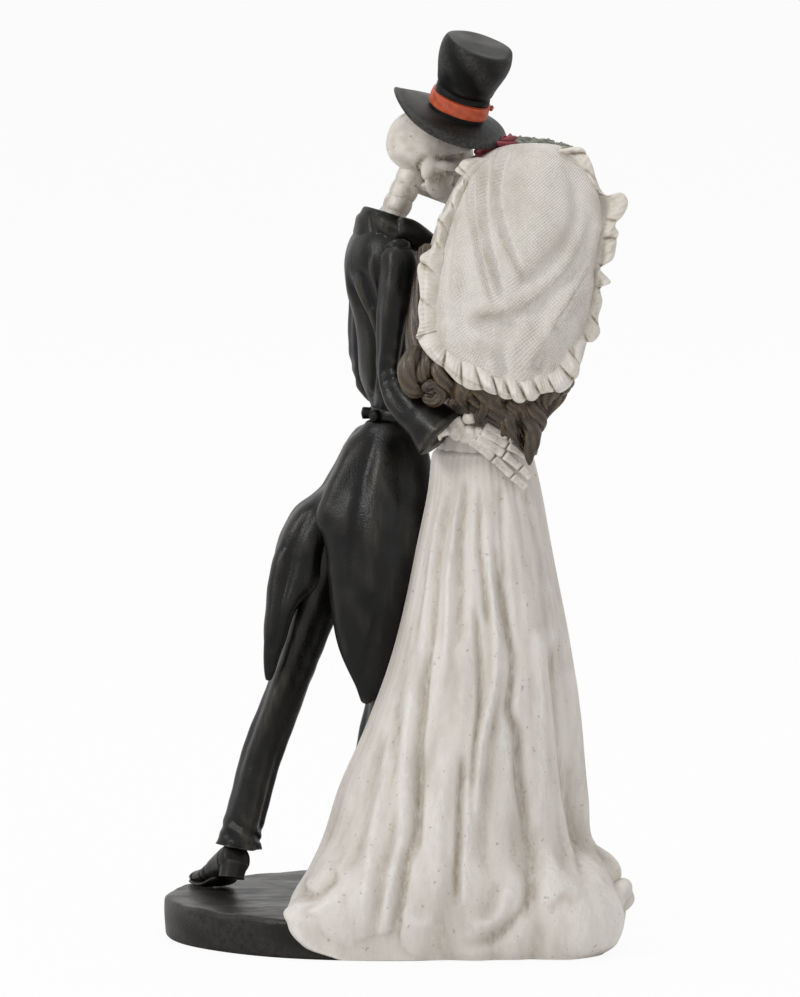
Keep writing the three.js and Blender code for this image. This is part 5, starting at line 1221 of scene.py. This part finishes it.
# Collar: a band round the neck, turned down over the coat; it tips forward with the neck, and a wing of it
# runs down the right of the chest. Rows go from inside the neck, over the top edge, to the lower edge:
# local height, middle, half depth, half width. The wing's stations are x, y, height and two half sizes.
collar = {
    "rows": [(-4.6, 0.2, 3.9, 4.4), (-1.2, 0.2, 4.4, 5), (0.3, 0.2, 4.9, 5.8), (0.6, 0.2, 5.5, 6.5),
             (0, 0.3, 6, 7.2), (-2.4, 0.7, 6.5, 8.7), (-4.6, 1.2, 6.8, 9.8), (-6.6, 1.7, 7, 10.6),
             (-7.6, 1.9, 7, 10.8), (-8, 1.9, 6.6, 10.4), (-7.8, 1.8, 5.8, 9.6), (-7.4, 1.6, 5, 8.6)],
    "nod": 20, "notch": 0.35,
    "wing": [(2.6, 1.4, 168.2, 2.2, 2.6), (6.6, 3.6, 166.9, 2.6, 3.1), (10.2, 5.4, 164.4, 2.5, 3),
             (12.4, 6.6, 161.4, 1.7, 2.6)],
    # creases: depth, width, then (x, height) points
    "creases": [(-0.4, 0.7, [(-3.6, 172), (-3, 168), (-2.6, 164.6)]),
                (0.6, 0.9, [(-1.4, 171), (0.6, 167), (4.4, 166)]),
                (0.7, 1, [(-1, 169.4), (3, 168.8), (6.4, 167.2)]),
                (-0.6, 0.8, [(-1.8, 167.4), (2.6, 166), (7, 165.6)]),
                (0.5, 1, [(-6.4, 171), (-6.2, 168), (-6.6, 165.6)])],
}


def makeCollar():
    levels = [(h, middle, 0, a, b) for h, middle, a, b in collar["rows"]]
    frameAxes = facing(groom["neck"], groom["heading"], collar["nod"])

    def shaped(extra):
        grid = stack(levels, 110, 160, fold=lambda turn, t, height: extra)
        lower = clamp((-grid[..., 2] - 4) / 4)
        grid[..., 2] += collar["notch"] * np.clip(grid[..., 0] - 3, 0, 9) * lower
        return placed(grid, frameAxes)

    plain = shaped(0.0)
    outer = np.linspace(0, 1, 110)[:, None] > 0.3
    grid = shaped(lineDepth(collar["creases"], plain[..., 0], plain[..., 2]) * outer)
    wing = tube(collar["wing"], 60, 60, across=(0, -1, 0), ends=(0.1, 0.25),
                fold=lambda turn, t: 0.2 * np.sin(3 * turn + 5 * t))
    makePiece("coat_collar", [grid, wing], "suitBlack", reach=4)


# Sleeves: tubes that flare to an open cuff. Creases are squared sines under a bell at the elbow's inside,
# and long folds are sine waves that turn along the arm.
# Station: x, y, height, radius. Inner: the angle of the elbow's inside, in radians.
sleeves = {
    "right": {"path": [(2.8, -1, 165, 2), (3.4, -2.4, 162.6, 4.2), (3.6, -4, 157.4, 4.7),
                       (2.8, -6, 149, 4.4), (2, -7.8, 140, 3.6), (1.8, -9.2, 132.6, 3.2),
                       (4, -12, 127.4, 3.9), (7.8, -14.6, 124, 4.8), (11.6, -16.8, 121.2, 6),
                       (14.4, -18.2, 118.4, 6.9)], "inner": 0.5},
    "left": {"path": [(-1.4, 16.2, 165, 2), (-1.8, 18, 162.6, 4.2), (-2.8, 20.2, 156.4, 4.6),
                      (-4, 22.4, 148, 4.6), (-4.4, 23.8, 139, 4.4), (-3.6, 24.4, 131, 4.5),
                      (-1.6, 24.6, 126.6, 4.7), (3.4, 24.2, 123.6, 4.9), (8.8, 22.6, 121, 5.9),
                      (12.4, 21.2, 119.6, 6.8)], "inner": -2.4},
}


def sleeveFold(inner):
    def fold(turn, t):
        inside = 0.5 + 0.5 * np.cos(turn - inner)
        elbow = bell(t, 0.58, 0.09)
        pinch = -0.4 * elbow * inside * np.abs(np.sin(50 * t)) ** 2
        long = 0.34 * np.sin(3 * turn + 7 * t) + 0.24 * np.sin(5 * turn - 9 * t)
        cap = -0.5 * bell(t, 0.1, 0.018)
        cuff = 0.35 * np.sin(4 * turn + 1) * clamp((t - 0.86) / 0.12)
        return pinch + long * np.sin(math.pi * np.clip(t, 0.08, 1)) + cap + cuff
    return fold


def makeSleeves():
    for side, shape in sleeves.items():
        grid = tube(shape["path"], rows=210, sides=100, fold=sleeveFold(shape["inner"]), ends=(0.05, 0))
        grid = rippled(grid, 7, 0.1)
        makePiece(f"{side}_sleeve", [hollowEnd(grid, 1.1, 5.5)], "suitBlack", reach=4, reliefDepth=0.29)


# Coat tails: stacks of ovals that swell over the hips and narrow to a point; their soft folds follow lines.
# Level: height, left, right, y, half depth.
tails = {
    "left": [(118.4, -6, 3.2, 9.4, 4.6), (112, -10, 2, 10, 7.2), (105, -14, 0, 10, 8.6),
             (100, -18.4, -3, 9.6, 8.6), (96, -23, -6, 9, 8.6), (87, -27.4, -12.4, 6.6, 7.2),
             (79, -28.7, -15.4, 3.6, 5.4), (72, -29.3, -21.4, 1.4, 3.8), (64, -30.1, -24.3, 0.4, 2.4),
             (57, -30.2, -26.8, 0, 1.4), (54.2, -29.6, -28.2, 0, 0.8)],
    "right": [(119.6, -3.4, 7.6, 4, 4.4), (118.4, -5, 8, 3.6, 5.4), (112, -10.6, 11, 3, 7.8),
              (105, -14.4, 12.4, 1.4, 8.8), (99, -16.6, 12.6, -0.4, 9.2), (94.6, -16.6, 12.2, -1.6, 9.2),
              (90, -14.6, 11.4, -2.6, 8.8), (81, -13.4, 9, -4.4, 7.6), (70, -12.6, 5.4, -6, 5.4),
              (61, -10.4, 3.4, -6.6, 3.6), (54, -7.4, 1.4, -7, 2.2), (49.4, -5.4, -3.2, -7, 1)],
    # broad folds: depth in mm (a ridge above nought), width in mm, then (x, height) points
    "creases": [(-0.7, 1.6, [(-9, 116), (-14, 106), (-19, 96), (-24, 84), (-26.6, 72)]),
                (0.6, 2, [(-7, 117), (-11.6, 106), (-16, 95)]),
                (-0.6, 1.8, [(-2, 118), (-5, 106), (-7.6, 92), (-8, 78)]),
                (0.6, 2.2, [(0.6, 117), (-1, 104), (-2.6, 90), (-4, 76)]),
                (-0.6, 2, [(4, 117), (5, 104), (3.6, 88)]),
                (0.5, 1.4, [(-12.8, 86), (-11.6, 74), (-8.6, 60)]),
                (-0.5, 1.4, [(-22, 86), (-25.6, 74), (-27.6, 62)]),
                (0.5, 1.4, [(-26, 88), (-28, 76), (-29, 64)]),
                (-0.4, 1.2, [(-1, 74), (-3.6, 64), (-5.4, 56)])],
}


def makeTails():
    for side in ("left", "right"):
        levels = [(h, (a + b) / 2, y, (b - a) / 2, depth) for h, a, b, y, depth in tails[side]]
        rows, sides = 180, 200
        plain = stack(levels, rows, sides, ends=(0.03, 0.02))
        extra = lineDepth(tails["creases"], plain[..., 0], plain[..., 2])
        extra = extra + 0.3 * ripple(plain * (1, 1, 0.4), 11)
        extra = extra * clamp(12 * (1 - rowShares(rows)))  # nothing at the point
        grid = stack(levels, rows, sides, fold=lambda turn, t, height: extra, ends=(0.03, 0.02))
        makePiece(f"coat_{side}_tail", [rippled(grid, 10, 0.12)], "suitBlack", reach=4, reliefDepth=0.35,
                  name=f"coatTail{side.title()}Cast")


# Waist tab and its two buttons: a low strap round the coat, and domed discs with a groove inside the rim
tab = {
    "middle": (2.1, 6.1), "height": 121,
    # height from the middle, half depth, half width
    "rows": [(-1.7, 4.3, 6.9), (-1.4, 4.9, 7.5), (-0.8, 5.2, 7.8), (0, 5.3, 7.85), (0.8, 5.15, 7.7),
             (1.4, 4.8, 7.4), (1.7, 4.3, 6.9)],
    # where the buttons sit: radians from the middle of his back
    "buttons": (-0.5, 0.36),
    # radius and rise of a button, from its back round the rim to the middle of its face
    "button": [(1.2, -1.4), (1.4, -1.2), (1.5, 0.3), (1.5, 0.7), (1.3, 1.05), (0.95, 1.1), (0.5, 1.25),
               (0.05, 1.3)],
}


def makeWaist():
    levels = [(tab["height"] + h, *tab["middle"], a, b) for h, a, b in tab["rows"]]
    strap = stack(levels, 70, 160, groom["heading"], fold=lambda turn, t, height: 0.1 * np.sin(9 * turn))
    makePiece("waist_tab", [strap], "suitBlack", reliefDepth=0.5)
    profile = smoothRows(tab["button"], 40)
    ring = profile[:, :1]
    rise = profile[:, 1:2] - 0.2 * bell(ring, 1.05, 0.14)
    for number, side in enumerate(tab["buttons"], 1):
        heading = math.radians(groom["heading"] + 180) + side
        outward = np.array([math.cos(heading), math.sin(heading), 0])
        seat = np.array(groom["waist"], float) + outward * (5 + 1.2 + 1.5 * abs(side))
        disc = placed(turned(ring, ringAngles(48), rise), standing(seat, outward))
        makePiece(f"waist_button_{number}", [disc], "plinthBlack", reach=2, reliefDepth=0.1)


# Trousers: legs and the seat that they join at. Sine waves that turn along the leg make long folds, squared
# sines under bells crease the knee and the shin, and six waves scallop the open cuff.
legs = {
    "left": {"path": [(-7.4, 6, 99, 6.2), (-12.8, 6.4, 84, 6), (-21, 7, 61, 5.2), (-27, 5, 45, 4.9),
                      (-30.8, 3.8, 34.4, 4.8), (-34.2, 2, 21, 4.9), (-35.7, 1, 15, 5.2),
                      (-36.1, 0.9, 12, 5.4)]},
    "right": {"path": [(-1.6, 6, 99, 6.2), (-0.4, 10.6, 81, 6), (1.4, 17, 55, 5.2), (0.2, 19, 45, 5),
                       (-1.4, 20.8, 36, 4.9), (-4, 23, 22, 5), (-6, 24, 13.6, 5.6), (-6.2, 23.8, 10.4, 6)]},
}
# height, x, y, half depth, half width
seatLevels = [(90, -4, 6, 7.4, 6.8), (99, -4, 6, 8.5, 7.5), (109, -0.9, 6.2, 6.8, 6),
              (119, 1.6, 6.5, 4.4, 6.4)]


def legFold(turn, t):
    twist = 0.5 * np.sin(3 * turn + 5 * t) + 0.18 * np.sin(5 * turn - 6 * t)
    knee = -0.2 * bell(t, 0.3, 0.06) * np.abs(np.sin(70 * t + 2 * turn)) ** 2 * (0.5 + 0.5 * np.cos(turn))
    bunch = -0.4 * bell(t, 0.82, 0.08) * np.abs(np.sin(30 * t + 1.5 * turn)) ** 2
    scallop = 0.5 * np.sin(6 * turn + 1) * clamp((t - 0.9) / 0.1)
    return twist * np.clip(4 * t, 0.2, 1) + knee + bunch + scallop


def makeTrousers():
    for side, shape in legs.items():
        grid = rippled(tube(shape["path"], rows=240, sides=96, fold=legFold, ends=(0.04, 0)), 9, 0.1)
        makePiece(f"{side}_trouser_leg", [hollowEnd(grid, 1, 2.5)], "suitBlack", reach=4, reliefDepth=0.28,
                  name=f"{side}LegCast")
    grid = stack(seatLevels, 90, 120, groom["heading"], ends=(0.12, 0.05),
                 fold=lambda turn, t, height: 0.2 * np.sin(4 * turn + 3 * t))
    makePiece("trouser_seat", [grid], "suitBlack")


# Shoes: an upper along a path from heel to toe, a squared sole under it and a heel block. Narrow bells cut
# the seams of the upper.
# Path: x, y, height, half width, half height.
shoes = {
    "left": {"upper": [(-36.4, -3, 10, 2.8, 3), (-37.4, -1.4, 9.2, 4.1, 4.2), (-39.9, 4.2, 6.6, 4.2, 3.6),
                       (-42.8, 10.2, 3.3, 4.6, 2.4), (-46, 15.2, 2, 3.6, 1.6),
                       (-47.8, 17.8, 1.3, 1.8, 0.9)],
             "sole": [(-39.4, 3.4, 4, 3.6, 0.6), (-42.4, 9.4, 1.1, 4.7, 0.7), (-46, 15.6, 0.8, 3.8, 0.6),
                      (-48.2, 18.2, 0.8, 1.6, 0.4)],
             "heel": [(-37.5, -1.8, 8.4, 3.6, 3.6), (-38, -2.8, 6, 3.2, 3.2), (-38.2, -3.2, 4.6, 3.3, 3.3)]},
    "right": {"upper": [(-10.4, 21.8, 6.4, 2.8, 2.8), (-8.2, 22.8, 6.4, 4.1, 4.2),
                        (-3, 25.2, 5.6, 4.2, 3.6), (2, 27.4, 3.5, 4.9, 2.7), (7, 29.8, 2.8, 3.9, 2),
                        (9.6, 30.8, 2.5, 1.7, 1.3)],
              "sole": [(-3.6, 24.9, 2.9, 3.6, 0.6), (1.4, 27.2, 1.1, 5, 0.7), (7.4, 29.9, 0.9, 4.2, 0.7),
                       (10, 31, 1, 1.6, 0.5)],
              "heel": [(-8.4, 22.7, 4.6, 3.7, 3.7), (-8.5, 22.7, 2, 3.2, 3.2), (-8.6, 22.7, 0.4, 3.3, 3.3)]},
}


def shoeFold(turn, t):
    vamp = -0.3 * bell(t, 0.5, 0.02) - 0.22 * bell(t, 0.57, 0.016)
    cap = -0.3 * bell(t, 0.76, 0.012)
    seam = -0.25 * bell(t, 0.24, 0.012)
    return vamp + cap + seam


def makeShoes():
    for side, shape in shoes.items():
        across = (0.92, 0.38, 0) if side == "left" else (-0.4, 0.91, 0)
        upper = tube(shape["upper"], rows=120, sides=80, across=across, fold=shoeFold, ends=(0.12, 0.12))
        sole = tube(shape["sole"], rows=60, sides=60, across=across, ends=(0.1, 0.18), square=0.3)
        heel = tube(shape["heel"], rows=40, sides=60, ends=(0.03, 0.03))
        makePiece(f"{side}_shoe", [upper, sole, heel], "plinthBlack", reliefDepth=0.2)


# Shirt front, bow tie and lapels, placed from the chest: reach forward, side to his right, lift. Cosines
# across the shirt pleat it, and a bell notches each lapel.
def onChest(reach, side, lift):
    c, s = math.cos(math.radians(groom["heading"])), math.sin(math.radians(groom["heading"]))
    x, y, height = groom["chest"]
    return (x + c * reach + s * side, y + s * reach - c * side, height + lift)


shirtFront = {
    "middle": (4.3, 0, 0.4), "halfSizes": (3.9, 4.6, 13.6), "pleatDepth": 0.14, "pleatWidth": 1.3,
    "buttonLifts": (8, 3.4, -1.2, -5.8),
    # stations of the tie's wing and of a lapel: reach, side, lift and two half sizes
    "tie": [(7.9, 0, 11.6, 0.9, 0.9), (7.9, 2, 11.6, 1.5, 1.1), (7.5, 4.6, 11.6, 2.2, 1)],
    "lapel": [(3.1, 6, 14, 1.9, 1.1), (5.6, 5.7, 8, 2.9, 1.1), (6.6, 4.9, 4, 3.1, 1.1),
              (6.9, 4.2, -1, 2.4, 1), (7.1, 1.9, -13, 1.1, 0.9)],
}


def makeShirt():
    matrix = facing(onChest(*shirtFront["middle"]), groom["heading"])
    shirt = egg((0, 0, 0), shirtFront["halfSizes"], None, 110, 160)
    pleats = shirtFront["pleatDepth"] * np.cos(tau * shirt[..., 1] / shirtFront["pleatWidth"])
    shirt[..., 0] += pleats * clamp(shirt[..., 0])
    grids = [placed(shirt, matrix)]
    deep, _, tall = shirtFront["halfSizes"]
    for lift in shirtFront["buttonLifts"]:
        bulge = deep * math.sqrt(1 - (lift / tall) ** 2)
        grids.append(placed(egg((bulge + 0.05, 0, lift), (0.35, 0.55, 0.55), None, 12, 20), matrix))
    makePiece("shirt_front", grids, "gownIvory", reliefDepth=0.12)

    grids = []
    for side in (1, -1):
        wing = [(*onChest(reach, side * off, lift), a, b) for reach, off, lift, a, b in shirtFront["tie"]]
        grids.append(tube(wing, 60, 60, across=(0, 0, 1), ends=(0.1, 0.06), square=0.2,
                          fold=lambda turn, t: 0.22 * np.sin(4 * turn + 2) * (1 - 0.6 * t)))
    knot = facing(onChest(*shirtFront["tie"][0][:3]), groom["heading"])
    grids.append(egg((0.2, 0, 0), (1.2, 1.2, 1.4), knot, 24, 36))
    makePiece("bow_tie", grids, "suitBlack", reliefDepth=0.15)

    for name, side in (("right", 1), ("left", -1)):
        path = [(*onChest(reach, side * off, lift), a, b) for reach, off, lift, a, b in shirtFront["lapel"]]
        forward = math.radians(groom["heading"])
        lapel = tube(path, 120, 60, across=(math.sin(forward), -math.cos(forward), 0),
                     fold=lambda turn, t: -0.5 * bell(t, 0.37, 0.012) * np.abs(np.cos(turn)),
                     ends=(0.04, 0.08), square=0.35)
        makePiece(f"{name}_lapel", [lapel], "suitBlack", reliefDepth=0.15)


# Bone: a rod that knobs at both ends, squared a little; the knob is a share of the middle's half width
def rod(start, end, half, flat=0.8, knob=1.35, square=0.25, across=(0, 0, 1)):
    start, end = np.array(start, float), np.array(end, float)
    shares = [(0, 0.9 * knob), (0.12, knob), (0.3, 1), (0.62, 0.94), (0.86, 0.96 * knob), (1, 0.8 * knob)]
    path = [(*(start + (end - start) * s), half * k, half * k * flat) for s, k in shares]
    return tube(path, 46, 26, across=across, ends=(0.1, 0.1), square=square)


# Hands: carpal knobs, then for each finger a chain of rods from joint to joint
hands = {
    "right": {
        "wrist": [(13, -18.2, 119.6), (17.6, -18.4, 120.6)], "across": (0.7, 0.1, 0.7),
        "carpals": [((17.9, -18.6, 120.6), (2.2, 1.9, 3.3)), ((21.4, -18.8, 119.2), (1.9, 1.7, 2)),
                    ((20.6, -18.6, 117.8), (1.7, 1.5, 1.4)), ((23.4, -18.7, 119.4), (1.5, 1.3, 1.6)),
                    ((21.4, -19.8, 123), (1.8, 1.4, 1.6))],
        "fingers": [[(21.4, -18.9, 117.6), (27.3, -19.4, 113), (31.9, -19, 108.5), (35.4, -18.2, 105.3)],
                    [(23.2, -19, 118.2), (29.9, -19.4, 113.9), (34, -18.8, 110.5), (36.6, -18, 107.9)],
                    [(24.4, -18.9, 119.6), (30.8, -19.2, 116.2), (35.5, -18.2, 113.3)],
                    [(24.9, -18.7, 121), (31, -18.8, 118), (34, -17.8, 116.6)]]},
    "left": {
        "wrist": [(8.8, 22.6, 119.8), (12.6, 20.6, 119.4)], "across": (0.3, 0.3, 0.9),
        "carpals": [((12.6, 19.8, 119.2), (1.9, 1.9, 3)), ((14.6, 15.8, 119.2), (1.6, 1.8, 1.5)),
                    ((14.4, 16.2, 116.8), (1.5, 1.7, 1.3)), ((13.6, 17.6, 118), (1.6, 1.6, 1.9))],
        "fingers": [[(14.4, 15.6, 120), (17.6, 9.6, 120.4), (21.4, 7, 118.4), (24.4, 5.2, 116)],
                    [(14.8, 15.2, 118.6), (17.8, 9.2, 118.2), (21.8, 6.4, 115.9), (25.1, 4.6, 113.7)],
                    [(14.6, 15.4, 117), (17.6, 9.4, 115.9), (21.6, 6.6, 113.6), (24.7, 4.7, 111.8)],
                    [(14.2, 15.8, 115.8), (17.2, 9.8, 113.8), (20.6, 7.4, 111.6), (23, 6, 110.4)]]},
}


def fingerGrids(joints, across, half=1.15):
    grids = []
    for number, (start, end) in enumerate(zip(joints[:-1], joints[1:])):
        start, end = np.array(start, float), np.array(end, float)
        gap = unit(end - start) * 0.08
        grids.append(rod(start + gap, end - gap, half * (1 - 0.07 * number), knob=1.12, across=across))
    return grids


def makeHands():
    for side, shape in hands.items():
        grids = [rod(shape["wrist"][0], shape["wrist"][1], 1.9, across=shape["across"])]
        grids += [rippled(egg(centre, sizes, None, 30, 40), 4, 0.15) for centre, sizes in shape["carpals"]]
        for joints in shape["fingers"]:
            grids += fingerGrids(joints, shape["across"])
        makePiece(f"{side}_hand", grids, "bonePaint", reach=2, reliefDepth=0.14)


# Bride's shoulders and arms: a chest block with collar bones and ribs, and for each arm one upper bone,
# two lower bones and a hand that lies on the groom
arms = {
    "left": {"root": (16, -1.5, 159), "elbow": (15.4, 8, 148), "wrist": (11, 8.6, 157.5),
             "tip": (8, 7, 164.6)},
    "right": {"root": (38, -1.5, 159), "elbow": (34, 17, 149), "wrist": (14, 22, 159),
              "tip": (4, 20.6, 163.6)},
}
# height, x, y, half width, half depth
shoulderLevels = [(147.6, 27, -3, 11.4, 6.2), (155, 27, -2.6, 13.4, 6.4), (160.5, 27, -2, 13.7, 5.5),
                  (163.6, 27.8, -2, 9, 4.3)]


def makeArms():
    for side, shape in arms.items():
        root, elbow, wrist, tip = (np.array(shape[key], float) for key in ("root", "elbow", "wrist", "tip"))
        across = unit(np.cross(elbow - root, wrist - elbow))
        lift = unit(np.cross(across, wrist - elbow))
        grids = [egg(tuple(root), (2.9, 2.7, 2.7), None, 26, 36), rod(root, elbow, 1.75, 0.9, 1.45)]
        grids += [rod(elbow + lift * 0.9, wrist + lift * 0.6, 0.95, 1, 1.5),
                  rod(elbow - lift * 0.9, wrist - lift * 0.6, 0.85, 1, 1.5)]
        grids.append(egg(tuple(wrist + (tip - wrist) * 0.12), (1.7, 1.7, 1.5), None, 20, 26))
        for place in (-1.5, -0.5, 0.5, 1.5):
            offset = across * place
            start = wrist + (tip - wrist) * 0.2 + offset * 0.9
            middle = wrist + (tip - wrist) * 0.62 + offset * 1.35
            end = tip + offset * 1.5 - (tip - wrist) * 0.05 * abs(place)
            grids += fingerGrids([start, middle, end], tuple(across), 0.62)
        makePiece(f"bride_{side}_arm", grids, "bonePaint", reach=2, reliefDepth=0.14)

    def ribs(turn, t, height):
        return 0.4 * np.sin(tau * (height - 1.2 * np.cos(turn)) / 3.2) * clamp(0.3 + np.sin(turn))

    grids = [stack(shoulderLevels, 130, 160, fold=ribs, ends=(0.03, 0.12))]
    for side in (1, -1):
        grids.append(rod((28 + side * 1.6, 3.4, 162.4), (27 + side * 12.6, 1, 161), 1, 0.9, 1.4))
    makePiece("bride_shoulders", grids, "bonePaint")


makeCoat()
makeCollar()
makeSleeves()
makeTails()
makeWaist()
makeTrousers()
makeShoes()
makeShirt()
makeHands()
makeArms()
print("stage: suit, hands and arms made")
